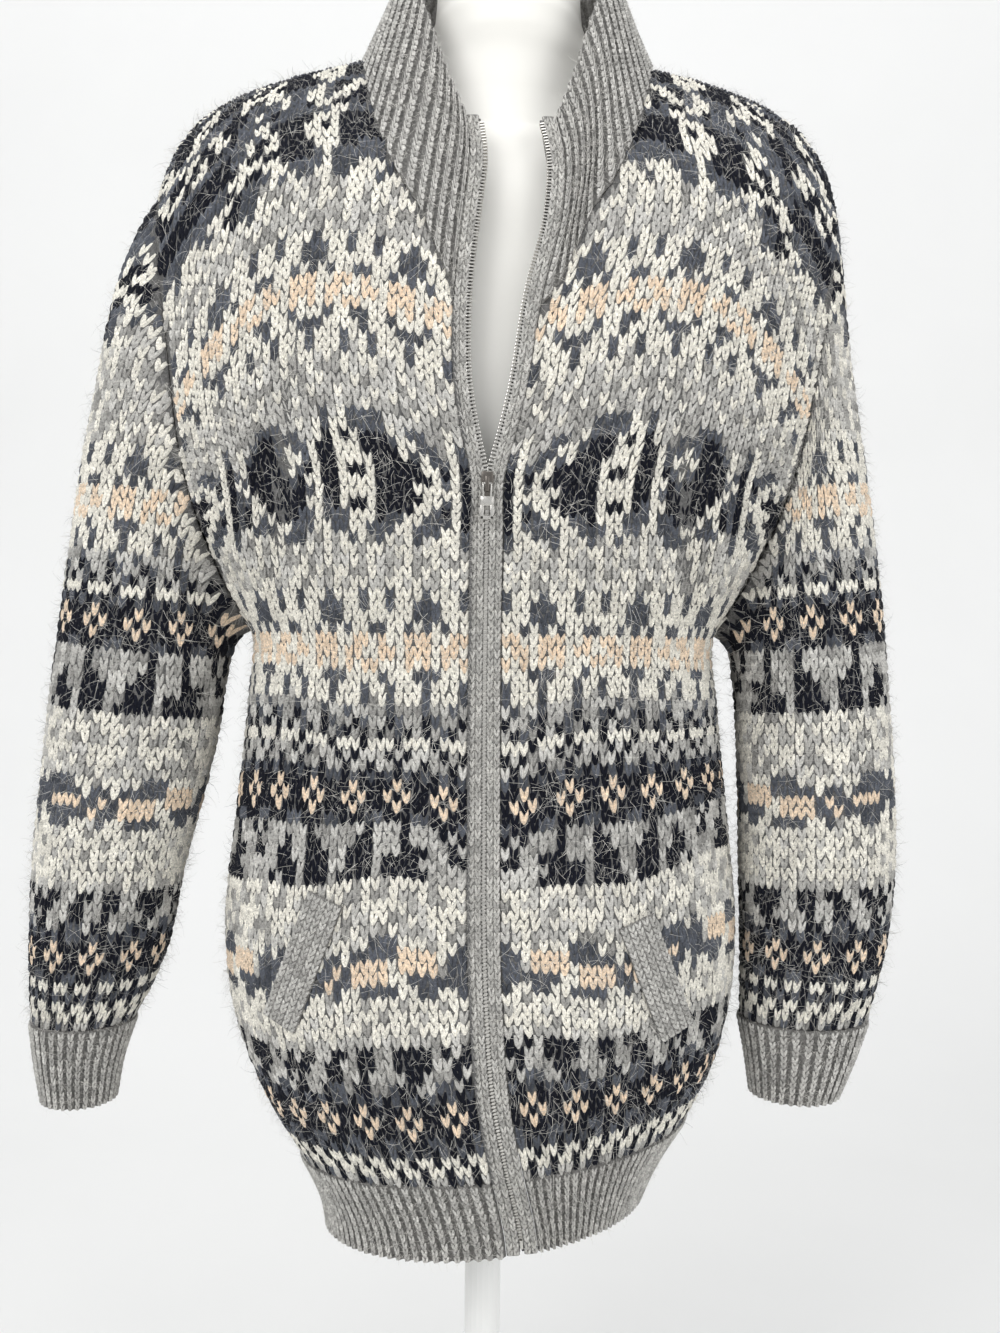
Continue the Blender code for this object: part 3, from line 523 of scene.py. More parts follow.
def virtual_width(side, z):
    rise = np.clip((z - ARMPIT) / (SHOULDER_TIP - ARMPIT), 0, 1)
    swing = np.minimum(np.arccos(1 - 2 * rise), np.pi / 2)
    return half_width(side, z) / np.sqrt(1 - (ARMHOLE_FULLNESS * np.sin(swing)) ** 2)


def depth(face, x, z):
    """Distance of the worn cloth's outer side from the plane through the side seams."""
    side_width = np.where(x < 0, virtual_width(RIGHT, z), virtual_width(LEFT, z))
    across = np.sqrt(np.clip(1 - (x / side_width) ** 2, 0, 1))
    start = read(SHOULDER, 1, np.abs(x)) - SHOULDER_ROUND
    over = np.sqrt(1 - np.clip((z - start) / SHOULDER_ROUND, 0, 1) ** 2)
    fold = 0
    for middle, height, lean, width, length, share in FOLDS:
        along = (z - height) / length
        aside = (x - middle - lean * (z - height)) / width
        fold = fold + share * np.exp(-(aside**2) - along**2)
    return read(BODY, 3 if face == FRONT else 4, z) * across * over * (1 - fold)


def zip_edge(side, z):
    return read(ZIP_EDGES, 1 if side == RIGHT else 2, z)


def band_edge(side, z):
    return zip_edge(side, z) + side * (BAND_WIDTH + SEAM)


def rib_top(x):
    return HEM_HEIGHT + HEM_RIB_HEIGHT + HEM_TILT * x


def middle_x(side, face, z):
    return band_edge(side, z) if face == FRONT else NECK_AXIS + 0 * z


def grid_normals(grid):
    """Outward-or-inward unit normals of a grid of points, by differences of its neighbours."""
    down = np.gradient(grid, axis=0)
    along = np.gradient(grid, axis=1)
    return unit(np.cross(along, down))


def blended(table, i, j):
    """Values of a table between its rows and columns."""
    i0, j0 = i.astype(int), j.astype(int)
    a, b = i - i0, j - j0
    if table.ndim == 3:
        a, b = a[..., None], b[..., None]
    low = table[i0, j0] * (1 - b) + table[i0, j0 + 1] * b
    high = table[i0 + 1, j0] * (1 - b) + table[i0 + 1, j0 + 1] * b
    return low * (1 - a) + high * a


class Cloth:
    """A knitted piece: a fine table of places and normals over rows v and columns u.

    keep says how far inside the piece's edge a place lies, in metres.
    """

    def __init__(self, u, v, places, normals, keep):
        self.u, self.v = u, v
        self.places, self.normals, self.keep = places, normals, keep

    def at(self, table, u, v):
        i = np.clip((v - self.v[0]) / (self.v[1] - self.v[0]), 0, len(self.v) - 1.001)
        j = np.clip((u - self.u[0]) / (self.u[1] - self.u[0]), 0, len(self.u) - 1.001)
        return blended(table, i, j)

    def point(self, u, v, lift=0):
        lift = np.asarray(lift)
        place = self.at(self.places, u, v)
        normal = unit(self.at(self.normals, u, v))
        return place + normal * (lift[..., None] if lift.ndim else lift)


# The body's cloth


def width_table(side, face):
    """Places x over heights and columns, at even steps of the cloth's own width."""
    heights = np.linspace(0.27, 1.13, 173)
    columns = np.arange(-2, 50, 0.5)
    turn = np.linspace(-0.5, np.pi / 2 + 0.25, 400)
    reach = virtual_width(side, heights)[:, None] * np.sin(turn)[None, :]
    away = read(BODY, 3 if face == FRONT else 4, heights)[:, None] * np.cos(turn)[None, :]
    steps = np.hypot(np.diff(reach, axis=1), np.diff(away, axis=1))
    length = np.concatenate([np.zeros((len(heights), 1)), np.cumsum(steps, axis=1)], axis=1)
    table = np.zeros((len(heights), len(columns)))
    middles = side * middle_x(side, face, heights)
    at_armpit = int(np.argmin(np.abs(heights - ARMPIT)))
    pitch = np.zeros(len(heights))
    for i in range(len(heights)):
        grows = turn <= np.pi / 2
        start = np.interp(middles[i], reach[i][grows], length[i][grows])
        seam = min(half_width(side, heights[i]), reach[i][grows][-1])
        pitch[i] = (np.interp(seam, reach[i][grows], length[i][grows]) - start) / BODY_COLUMNS
        if i > at_armpit:
            pitch[i] = pitch[at_armpit]
        table[i] = side * np.interp(start + columns * pitch[i], length[i], reach[i])
    return heights, columns, table


def look_up(heights, columns, table, z, u):
    i = np.clip((z - heights[0]) / (heights[1] - heights[0]), 0, len(heights) - 1.001)
    j = np.clip((u - columns[0]) / (columns[1] - columns[0]), 0, len(columns) - 1.001)
    return blended(table, i, j)


def row_height(x, v, face):
    """Height of knit row v at x, and how far under the shoulder seam it lies."""
    low = rib_top(x)
    below = low + (ARMPIT - low) * v / ROWS_BELOW
    above = (v - ROWS_BELOW) * ROW_HEIGHT
    share = np.clip(above / SAG_HEIGHT, 0, 1)
    aside = np.abs(x) - SAG_MIDDLE
    middle = SAG_AT_ZIP if face == FRONT else 0.0
    sag = np.where(aside < 0, middle, SAG_AT_ARMHOLE) * (aside / 0.080) ** 2
    above = above - np.minimum(sag, 0.09) * share**2 * (3 - 2 * share)
    z = np.where(v < ROWS_BELOW, below, ARMPIT + above)
    loose = np.sin(np.pi * np.clip(v / ROWS_BELOW, 0, 1)) ** 0.7
    waves = sum(h * np.sin(a * x + b * v + c) for h, a, b, c in ROW_WAVES)
    z = z + loose * waves
    start = read(SHOULDER, 1, np.abs(x)) - SHOULDER_ROUND
    turn = (z - start) / SHOULDER_REACH
    room = (np.pi / 2 - turn) * SHOULDER_REACH
    turned = start + SHOULDER_ROUND * np.sin(np.clip(turn, 0, np.pi / 2))
    return np.where(turn > 0, turned, z), room


def body_cloth(side, face):
    u = np.arange(-1.5, 46, 0.5)
    v = np.arange(-1, 124, 0.5)
    all_u, all_v = np.meshgrid(u, v)
    table = width_table(side, face)
    z = np.full_like(all_u, ARMPIT)
    for _ in range(8):
        x = look_up(*table, z, all_u)
        z, room = row_height(x, all_v, face)
    places = np.stack([x, face * depth(face, x, z), z], axis=-1)
    normals = grid_normals(places)
    normals *= np.sign((normals[..., 1] * face).sum())
    seam = half_width(side, z) - side * x
    seam = np.where(z < ARMPIT, (BODY_COLUMNS - all_u) * STITCH_WIDTH, seam * 1.3)
    neck_table = np.array(FRONT_NECK if face == FRONT else BACK_NECK)
    reach = np.abs(x - NECK_AXIS)
    neck = np.interp(reach, neck_table[:, 1], neck_table[:, 2]) - z
    neck = np.where(reach < neck_table[-1, 1], neck, 1.0)
    edge = all_u * STITCH_WIDTH if face == FRONT else 1.0 + 0 * all_u
    keep = np.minimum.reduce([seam, room, neck, edge, (all_v + 0.3) * ROW_HEIGHT])
    return Cloth(u, v, places, normals, keep)


# The sleeves' cloth


def armhole(side, steps):
    """The armhole seam as a loop, from the armpit up the front and down the back."""
    z = ARMPIT + (SHOULDER_TIP - ARMPIT) * (1 - np.cos(np.linspace(0, np.pi, steps + 1))) / 2
    x = side * half_width(side, z)
    front = np.stack([x, -depth(FRONT, x, z), z], axis=-1)
    back = np.stack([x, depth(BACK, x, z), z], axis=-1)
    for edge in (front, back):
        edge[0, 1] = edge[-1, 1] = 0
    return np.concatenate([front, back[-2:0:-1]])


def sleeve_grid(side, steps, fine):
    """Rings of the sleeve's outer points, fine times as many as the table's rows."""
    table = np.array(RIGHT_SLEEVE if side == RIGHT else LEFT_SLEEVE)
    numbered = np.column_stack([np.arange(len(table)), table])
    k = np.linspace(0, len(table) - 1, (len(table) - 1) * fine + 1)
    inner_x, inner_z, outer_x, outer_z, half_depth = (read(numbered, c, k) for c in range(1, 6))
    loop = armhole(side, steps)
    swing = np.linspace(0, 2 * np.pi, len(loop), endpoint=False)
    inner = np.stack([side * inner_x, 0 * k, inner_z], axis=-1)[:, None]
    outer = np.stack([side * outer_x, 0 * k, outer_z], axis=-1)[:, None]
    rings = (inner + outer) / 2 - np.cos(swing)[None, :, None] * (outer - inner) / 2
    rings = rings + np.sin(swing)[None, :, None] * half_depth[:, None, None] * np.array([0, -1, 0])
    weight = np.clip(1 - k / SLEEVE_BLEND_RINGS, 0, 1) ** 2
    return rings + weight[:, None, None] * (loop - rings[0])[None]


def sleeve_cloth(side):
    """Columns run round the sleeve from its inner side over the front; rows from the cuff up."""
    grid = sleeve_grid(side, 60, 10)
    grid = np.concatenate([grid, grid[:, :1]], axis=1)
    even = np.linspace(0, 1, grid.shape[1])
    for ring in grid:
        around = np.append(0, np.cumsum(np.linalg.norm(np.diff(ring, axis=0), axis=1)))
        ring[:] = np.stack([np.interp(even, around / around[-1], c) for c in ring.T], axis=-1)
    normals = np.cross(np.gradient(grid, axis=1), np.gradient(grid, axis=0))
    middle = grid.mean(axis=1, keepdims=True)
    normals = unit(normals) * np.sign((normals * (grid - middle)).sum())
    middle_line = np.abs(middle[..., 0]) + 0 * grid[..., 0]
    slant = SLEEVE_SLANT * np.clip((grid[..., 2] - 0.43) / 0.4, 0, 1)
    level = grid[..., 2] - slant * (np.abs(grid[..., 0]) - middle_line)
    low = level[-1].max()
    v = np.arange(-1, 90, 0.5)
    u = np.arange(0, SLEEVE_COLUMNS + 0.01, 0.5)
    places = np.zeros((len(v), len(u), 3))
    facing = np.zeros_like(places)
    keep = np.zeros((len(v), len(u)))
    rings = np.arange(grid.shape[0])
    for j, column in enumerate(u):
        a = np.clip(column / SLEEVE_COLUMNS * (grid.shape[1] - 1), 0, grid.shape[1] - 1.001)
        j0, b = int(a), a - int(a)
        line = grid[:, j0] * (1 - b) + grid[:, j0 + 1] * b
        normal = normals[:, j0] * (1 - b) + normals[:, j0 + 1] * b
        heights = level[:, j0] * (1 - b) + level[:, j0 + 1] * b
        wanted = low + v * ROW_HEIGHT
        k = np.interp(wanted, heights[::-1], rings[::-1])
        for axis in range(3):
            places[:, j, axis] = np.interp(k, rings, line[:, axis])
            facing[:, j, axis] = np.interp(k, rings, normal[:, axis])
        keep[:, j] = np.minimum(heights[0] - wanted, (v + 0.3) * ROW_HEIGHT)
    return Cloth(u, v, places, unit(facing), keep)


# Making meshes


def linked(name, mesh, look):
    made = bpy.data.objects.new(name.replace(" ", "_"), mesh)
    mesh.materials.append(look)
    bpy.context.scene.collection.objects.link(made)
    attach(made, ROOT)
    return made


def arrayed(template, counts):
    """The template's bmesh copied over a grid with Array modifiers, as one mesh."""
    mesh = bpy.data.meshes.new("template")
    template.to_mesh(mesh)
    template.free()
    made = bpy.data.objects.new("template", mesh)
    bpy.context.scene.collection.objects.link(made)
    for axis, count in enumerate(counts):
        repeat = made.modifiers.new("repeat", "ARRAY")
        repeat.count = int(count)
        repeat.use_relative_offset = False
        repeat.use_constant_offset = True
        offset = [0.0, 0.0, 0.0]
        offset[axis] = 1.0
        repeat.constant_offset_displace = offset
    graph = bpy.context.evaluated_depsgraph_get()
    done = bpy.data.meshes.new_from_object(made.evaluated_get(graph))
    bpy.data.objects.remove(made)
    return done


def places_of(mesh):
    flat = np.zeros(len(mesh.vertices) * 3, dtype=np.float32)
    mesh.vertices.foreach_get("co", flat)
    return flat.reshape(-1, 3).astype(float)


def set_places(mesh, places):
    mesh.vertices.foreach_set("co", places.astype(np.float32).ravel())


def leg_template(wide, tall):
    """Both legs of one knit stitch in a cell one unit wide and tall, meeting at its foot."""
    bm = bmesh.new()
    bmesh.ops.create_grid(bm, x_segments=2, y_segments=3, size=0.5)
    for v in bm.verts:
        across, up = v.co.x * 2, v.co.y + 0.5
        swell = np.sin(np.pi * (0.10 + 0.80 * up)) ** 0.7
        x = 0.56 + 0.32 * up + across * wide * swell
        y = -0.28 + 1.18 * up * tall
        z = (1.0 if abs(across) < 0.5 else 0.0) * swell - 0.15 * (1 - swell)
        v.co = (x, y, z)
    copy = bmesh.ops.duplicate(bm, geom=bm.verts[:] + bm.edges[:] + bm.faces[:])["geom"]
    verts = [g for g in copy if isinstance(g, bmesh.types.BMVert)]
    faces = [g for g in copy if isinstance(g, bmesh.types.BMFace)]
    bmesh.ops.scale(bm, vec=(-1, 1, 1), verts=verts)
    bmesh.ops.translate(bm, vec=(1, 0, 0), verts=verts)
    bmesh.ops.reverse_faces(bm, faces=faces)
    return bm


def paint(mesh, colours):
    """One colour to each vertex, kept as the mesh's own attribute."""
    layer = mesh.attributes.new("yarn", "FLOAT_COLOR", "POINT")
    full = np.ones((len(colours), 4), dtype=np.float32)
    full[:, :3] = colours
    layer.data.foreach_set("color", full.ravel())


def lay_out(mesh, across, up):
    """Texture places on the knit's own grid."""
    layer = mesh.uv_layers.new(name="OFBake")
    corner = np.zeros(len(mesh.loops), dtype=np.int32)
    mesh.loops.foreach_get("vertex_index", corner)
    flat = np.stack([across[corner], up[corner]], axis=-1).astype(np.float32)
    layer.uv.foreach_set("vector", flat.ravel())


def only_kept(mesh, kept, flip):
    """Deletes the vertices that aren't kept, and turns the faces round if asked."""
    bm = bmesh.new()
    bm.from_mesh(mesh)
    bm.verts.ensure_lookup_table()
    gone = [bm.verts[i] for i in np.flatnonzero(~kept)]
    bmesh.ops.delete(bm, geom=gone, context="VERTS")
    if flip:
        bmesh.ops.reverse_faces(bm, faces=bm.faces)
    bm.to_mesh(mesh)
    bm.free()
    mesh.shade_smooth()


def faces_in(cloth, u, v, step):
    """Whether faces laid over the cloth's columns and rows look inwards."""
    sample = cloth.point(np.array([u, u + step, u]), np.array([v, v, v + step]))
    facing = np.cross(sample[1] - sample[0], sample[2] - sample[0])
    normal = cloth.at(cloth.normals, np.array([u]), np.array([v]))[0]
    return float(facing @ normal) < 0


def chart_letters(chart, rows, columns):
    """Yarn letter at each row counted from the chart's foot and each column from its start."""
    letters = np.array([list((line * 12)[:96]) for line in chart])
    row = np.clip(len(chart) - 1 - rows, 0, len(chart) - 1)
    return letters[row, columns]


def stitch_paint(letters, number):
    """Each stitch in its yarn's colour, with one uneven shade over all its vertices."""
    colours = np.zeros((len(letters), 3))
    spread = np.zeros(len(letters))
    for letter, colour in YARNS.items():
        colours[letters == letter] = colour
        spread[letters == letter] = YARN_UNEVEN[letter]
    shade = 1 + spread * (RNG.random(number.max() + 1) - 0.5)[number]
    return colours * shade[:, None]


def stitches(name, cloth, columns, rows, chart, look, margin=0.0022):
    """Knit stitches over a cloth, in the chart's yarns."""
    mesh = arrayed(leg_template(0.23, 1.05), (columns, rows))
    cell = places_of(mesh)
    block = len(cell) // (columns * rows)
    number = np.arange(len(cell)) // block
    column, row = number % columns, number // columns
    shift = RNG.normal(0, 0.055, (columns * rows, 2))[number]
    lean = RNG.normal(0, 0.09, columns * rows)[number] * (cell[:, 1] - row - 0.3)
    u, v = cell[:, 0] + shift[:, 0] + lean, cell[:, 1] + shift[:, 1]
    loose = (0.7 + 0.6 * RNG.random(columns * rows))[number]
    lift = cell[:, 2] * STITCH_DEPTH * loose - 0.0009
    places = cloth.point(u, v, lift)
    kept = cloth.at(cloth.keep, column + 0.5, row + 0.35) > margin
    letters = chart_letters(chart, row, column)
    set_places(mesh, places)
    paint(mesh, stitch_paint(letters, number))
    lay_out(mesh, u / (columns + 2) + 0.01, v / (rows + 2) + 0.01)
    only_kept(mesh, kept, faces_in(cloth, 5.2, 20.0, 0.5))
    mesh.name = name
    return linked(name, mesh, look)


# Materials


def group(name, inputs, outputs):
    """A new shader node group with the named sockets, and its two end nodes."""
    tree = bpy.data.node_groups.new(name, "ShaderNodeTree")
    for label, kind, value in inputs:
        socket = tree.interface.new_socket(label, in_out="INPUT", socket_type=kind)
        socket.default_value = value
    for label, kind in outputs:
        tree.interface.new_socket(label, in_out="OUTPUT", socket_type=kind)
    return tree, tree.nodes.new("NodeGroupInput"), tree.nodes.new("NodeGroupOutput")


def noise(tree, source, scale, detail, roughness=0.6):
    node = tree.nodes.new("ShaderNodeTexNoise")
    node.inputs["Scale"].default_value = scale
    node.inputs["Detail"].default_value = detail
    node.inputs["Roughness"].default_value = roughness
    tree.links.new(source, node.inputs["Vector"])
    return node


def ranged(tree, value, low, high):
    node = tree.nodes.new("ShaderNodeMapRange")
    node.inputs["From Min"].default_value = 0.3
    node.inputs["From Max"].default_value = 0.7
    node.inputs["To Min"].default_value = low
    node.inputs["To Max"].default_value = high
    tree.links.new(value, node.inputs["Value"])
    return node.outputs["Result"]


def scaled(tree, colour, factor):
    node = tree.nodes.new("ShaderNodeVectorMath")
    node.operation = "SCALE"
    tree.links.new(colour, node.inputs[0])
    tree.links.new(factor, node.inputs["Scale"])
    return node.outputs["Vector"]


def wool_group():
    """Spun mixed wool: a colour uneven from fibre to fibre, and the fibres' own relief."""
    tree, start, end = group(
        "spun wool",
        [("Colour", "NodeSocketColor", (0.5, 0.5, 0.5, 1)), ("Mixed", "NodeSocketFloat", 0.25)],
        [("Colour", "NodeSocketColor"), ("Relief", "NodeSocketFloat")],
    )
    place = tree.nodes.new("ShaderNodeTexCoord").outputs["Object"]
    fibres = noise(tree, place, 1600.0, 3.0, 0.7)
    flecks = noise(tree, place, 620.0, 3.0, 0.7)
    low = tree.nodes.new("ShaderNodeMath")
    low.operation = "SUBTRACT"
    low.inputs[0].default_value = 1.0
    high = tree.nodes.new("ShaderNodeMath")
    high.operation = "ADD"
    high.inputs[0].default_value = 1.0
    tree.links.new(start.outputs["Mixed"], low.inputs[1])
    tree.links.new(start.outputs["Mixed"], high.inputs[1])
    share = tree.nodes.new("ShaderNodeMapRange")
    share.inputs["From Min"].default_value = 0.3
    share.inputs["From Max"].default_value = 0.7
    tree.links.new(low.outputs[0], share.inputs["To Min"])
    tree.links.new(high.outputs[0], share.inputs["To Max"])
    tree.links.new(flecks.outputs["Fac"], share.inputs["Value"])
    mottled = scaled(tree, start.outputs["Colour"], share.outputs["Result"])
    fine = scaled(tree, mottled, ranged(tree, fibres.outputs["Fac"], 0.82, 1.16))
    tree.links.new(fine, end.inputs["Colour"])
    tree.links.new(fibres.outputs["Fac"], end.inputs["Relief"])
    return tree


def worn_group():
    """Handled metal: roughness that varies in small smears."""
    tree, _, end = group(
        "handled metal",
        [],
        [("Roughness", "NodeSocketFloat"), ("Relief", "NodeSocketFloat")],
    )
    place = tree.nodes.new("ShaderNodeTexCoord").outputs["Object"]
    smears = noise(tree, place, 500.0, 4.0)
    tree.links.new(ranged(tree, smears.outputs["Fac"], 0.20, 0.36), end.inputs["Roughness"])
    tree.links.new(smears.outputs["Fac"], end.inputs["Relief"])
    return tree


def principled(name):
    look = bpy.data.materials.new(name)
    look.use_nodes = True
    return look, look.node_tree, look.node_tree.nodes["Principled BSDF"]


def bumped(tree, shader, height, strength, distance):
    bump = tree.nodes.new("ShaderNodeBump")
    bump.inputs["Strength"].default_value = strength
    bump.inputs["Distance"].default_value = distance
    tree.links.new(height, bump.inputs["Height"])
    tree.links.new(bump.outputs["Normal"], shader.inputs["Normal"])


def wool_look(name, wool, colour=None, mixed=0.25, relief=0.5):
    """Knitting wool, in one colour or in the mesh's own yarn colours."""
    look, tree, shader = principled(name)
    node = tree.nodes.new("ShaderNodeGroup")
    node.node_tree = wool
    node.inputs["Mixed"].default_value = mixed
    if colour is None:
        yarn = tree.nodes.new("ShaderNodeAttribute")
        yarn.attribute_name = "yarn"
        tree.links.new(yarn.outputs["Color"], node.inputs["Colour"])
    else:
        node.inputs["Colour"].default_value = (*colour, 1)
    tree.links.new(node.outputs["Colour"], shader.inputs["Base Color"])
    shader.inputs["Roughness"].default_value = 0.92
    shader.inputs["Specular IOR Level"].default_value = 0.10
    shader.inputs["Sheen Weight"].default_value = 0.04
    shader.inputs["Sheen Roughness"].default_value = 0.6
    bumped(tree, shader, node.outputs["Relief"], relief, 0.0004)
    return look


def tape_look():
    """Woven herringbone tape."""
    look, tree, shader = principled("zip tape weave")
    place = tree.nodes.new("ShaderNodeTexCoord").outputs["Object"]
    weave = tree.nodes.new("ShaderNodeTexWave")
    weave.wave_type = "BANDS"
    weave.bands_direction = "DIAGONAL"
    weave.inputs["Scale"].default_value = 420.0
    weave.inputs["Distortion"].default_value = 1.0
    tree.links.new(place, weave.inputs["Vector"])
    dark = tree.nodes.new("ShaderNodeRGB")
    dark.outputs[0].default_value = (0.045, 0.045, 0.048, 1)
    shaded = scaled(tree, dark.outputs[0], ranged(tree, weave.outputs["Fac"], 0.75, 1.2))
    tree.links.new(shaded, shader.inputs["Base Color"])
    shader.inputs["Roughness"].default_value = 0.8
    bumped(tree, shader, weave.outputs["Fac"], 0.5, 0.0002)
    return look


def metal_look(name, worn, colour):
    look, tree, shader = principled(name)
    node = tree.nodes.new("ShaderNodeGroup")
    node.node_tree = worn
    shader.inputs["Base Color"].default_value = (*colour, 1)
    shader.inputs["Metallic"].default_value = 1.0
    tree.links.new(node.outputs["Roughness"], shader.inputs["Roughness"])
    bumped(tree, shader, node.outputs["Relief"], 0.1, 0.0001)
    return look


def painted_look(name, colour, low, high):
    """Smooth moulded or painted surface, faintly uneven."""
    look, tree, shader = principled(name)
    place = tree.nodes.new("ShaderNodeTexCoord").outputs["Object"]
    uneven = noise(tree, place, 14.0, 3.0)
    tint = tree.nodes.new("ShaderNodeRGB")
    tint.outputs[0].default_value = (*colour, 1)
    shaded = scaled(tree, tint.outputs[0], ranged(tree, uneven.outputs["Fac"], 0.985, 1.01))
    tree.links.new(shaded, shader.inputs["Base Color"])
    tree.links.new(ranged(tree, uneven.outputs["Fac"], low, high), shader.inputs["Roughness"])
    bumped(tree, shader, uneven.outputs["Fac"], 0.05, 0.001)
    return look


WOOL = wool_group()
KNIT = wool_look("fair isle wool", WOOL, mixed=0.42)
# Dark grey shells under the knit: painted shade in the gaps between the stitches.
KNIT_GAP_SHADE = wool_look("painted shade between stitches", WOOL, (0.13, 0.128, 0.125), 0.45)
RIB = wool_look("grey heather wool", WOOL, mixed=0.50)
# Dark grey under the rib, zip band and welt stitches: painted shade in the furrows between them.
RIB_FURROW_SHADE = wool_look("painted shade in rib furrows", WOOL, (0.19, 0.185, 0.175), 0.50)
HALO = wool_look("mohair", WOOL, mixed=0.1, relief=0.0)
TAPE = tape_look()
WORN = worn_group()
METAL = metal_look("zip nickel", WORN, (0.58, 0.565, 0.53))
DARK_METAL = metal_look("slider's darkened nickel", WORN, (0.16, 0.145, 0.13))
FORM_WHITE = painted_look("white form", (0.85, 0.835, 0.785), 0.54, 0.60)
STAND_WHITE = painted_look("white painted steel", (0.84, 0.84, 0.82), 0.30, 0.38)


# Shells under the stitches, dark grey as painted shade between them


def shell(name, columns, rows, place, inside, look, around=False, thick=0.0019):
    """A thin closed shell. place gives its outer points over shares across and up."""
    bm = bmesh.new()
    bmesh.ops.create_grid(bm, x_segments=columns, y_segments=rows, size=0.5)
    mesh = bpy.data.meshes.new(name)
    bm.to_mesh(mesh)
    bm.free()
    cell = places_of(mesh)
    set_places(mesh, place(cell[:, 0] + 0.5, cell[:, 1] + 0.5))
    lay_out(mesh, cell[:, 0] + 0.5, cell[:, 1] + 0.5)
    bm = bmesh.new()
    bm.from_mesh(mesh)
    if around:
        bmesh.ops.remove_doubles(bm, verts=bm.verts, dist=1e-6)
        bmesh.ops.recalc_face_normals(bm, faces=bm.faces)
    bm.normal_update()
    away = sum(f.normal.dot(f.calc_center_median() - Vector(inside)) * f.calc_area() for f in bm.faces)
    if away < 0:
        bmesh.ops.reverse_faces(bm, faces=bm.faces)
    bm.to_mesh(mesh)
    bm.free()
    mesh.shade_smooth()
    made = linked(name, mesh, look)
    thicken = made.modifiers.new("thickness", "SOLIDIFY")
    thicken.thickness = thick
    thicken.offset = -1.0
    return made


def between(grid, across, up):
    """Points of a grid at shares across its columns and up its rows."""
    i = np.clip(up * (grid.shape[0] - 1), 0, grid.shape[0] - 1.0001)
    j = np.clip(across * (grid.shape[1] - 1), 0, grid.shape[1] - 1.0001)
    return blended(grid, i, j)


def column_ends(side, face):
    neck_table = FRONT_NECK if face == FRONT else BACK_NECK
    share = 1 - np.linspace(1, 0, NECK_COLUMNS * FINE + 1) ** NECK_CROWDING
    neck_x = side * read(neck_table, 1, share) + NECK_AXIS
    neck_z = read(neck_table, 2, share)
    if face == FRONT:
        neck_x[0] = band_edge(side, NECK_SEAM_FRONT)
    tip = side * half_width(side, SHOULDER_TIP)
    outward = np.linspace(0, 1, SHOULDER_COLUMNS * FINE + 1)[1:] ** 0.85
    shoulder_x = neck_x[-1] + (tip - neck_x[-1]) * outward
    shoulder_z = read(SHOULDER, 1, np.abs(shoulder_x))
    neck_z[-1] = read(SHOULDER, 1, np.abs(neck_x[-1]))
    return np.append(neck_x, shoulder_x), np.append(neck_z, shoulder_z)


def half_panel(side, face):
    """Outer points of one half of the body, as in the solid but closer together."""
    end_x, end_z = column_ends(side, face)
    end_middle = middle_x(side, face, end_z)
    spread = (end_x - end_middle) / (side * half_width(side, end_z) - end_middle)
    spread[-1] = 1
    rows = []
    for share in np.linspace(0, 1, 9 * FINE + 1):
        z = np.full_like(spread, ARMPIT)
        for _ in range(6):
            middle = middle_x(side, face, z)
            x = middle + spread * (side * half_width(side, z) - middle)
            z = rib_top(x) + (ARMPIT - rib_top(x)) * share
        rows.append((x, z))
    for share in np.linspace(0, 1, ROWS_ABOVE * FINE + 1)[1:]:
        z = ARMPIT + (end_z - ARMPIT) * (1 - np.cos(np.pi * share)) / 2
        middle = middle_x(side, face, z)
        rows.append((middle + spread * (side * half_width(side, z) - middle), z))
    grid = np.array([np.stack([x, face * depth(face, x, z), z], axis=-1) for x, z in rows])
    grid[-1, NECK_COLUMNS * FINE :, 1] = 0
    grid[: 9 * FINE + 1, -1, 1] = 0
    return grid


def sunk(grid, deep, inside):
    """The grid moved in by a depth along its normals."""
    normals = grid_normals(grid)
    normals *= np.sign((normals * (grid - np.array(inside))).sum())
    return grid - normals * deep


def body_shell(name, side, face):
    grid = half_panel(side, face)
    inside = (0, 0, 0.7)
    grid = sunk(grid, SUNK, inside)

    def place(across, up):
        return between(grid, across, up)

    # The shell's dark grey is painted shade between the stitches of the front or back.
    return shell(name, 33, 60, place, inside, KNIT_GAP_SHADE)


def sleeve_shell(name, side):
    grid = sleeve_grid(side, 30, 5)[::-1]
    grid = np.concatenate([grid, grid[:, :1]], axis=1)
    inside = tuple(grid.mean(axis=(0, 1)))
    centre = grid.mean(axis=1, keepdims=True)
    normals = np.cross(np.gradient(grid, axis=1), np.gradient(grid, axis=0))
    normals = unit(normals) * np.sign((normals * (grid - centre)).sum())
    normals[:, 0] = normals[:, -1] = unit(normals[:, 0] + normals[:, -1])
    grid = grid - normals * SUNK

    def place(across, up):
        return between(grid, across, up)

    # The shell's dark grey is painted shade between the sleeve's stitches.
    return shell(name, 60, 60, place, inside, KNIT_GAP_SHADE, True)


# Ribbed pieces


def along(points, count):
    length = np.append(0, np.cumsum(np.linalg.norm(np.diff(points, axis=0), axis=1)))
    share = np.linspace(0, length[-1], count)
    return np.stack([np.interp(share, length, points[:, axis]) for axis in range(3)], axis=-1)


def neck_line():
    """The neck seam from the right front's zip band round the back to the left one's."""
    top = {}
    for side in (RIGHT, LEFT):
        for face in (FRONT, BACK):
            top[side, face] = half_panel(side, face)[-1, : NECK_COLUMNS * FINE + 1]
    right = top[RIGHT, FRONT]
    behind = np.concatenate([top[RIGHT, BACK][::-1], top[LEFT, BACK][1:]])
    return np.concatenate([right, behind[1:-1], top[LEFT, FRONT][::-1]])


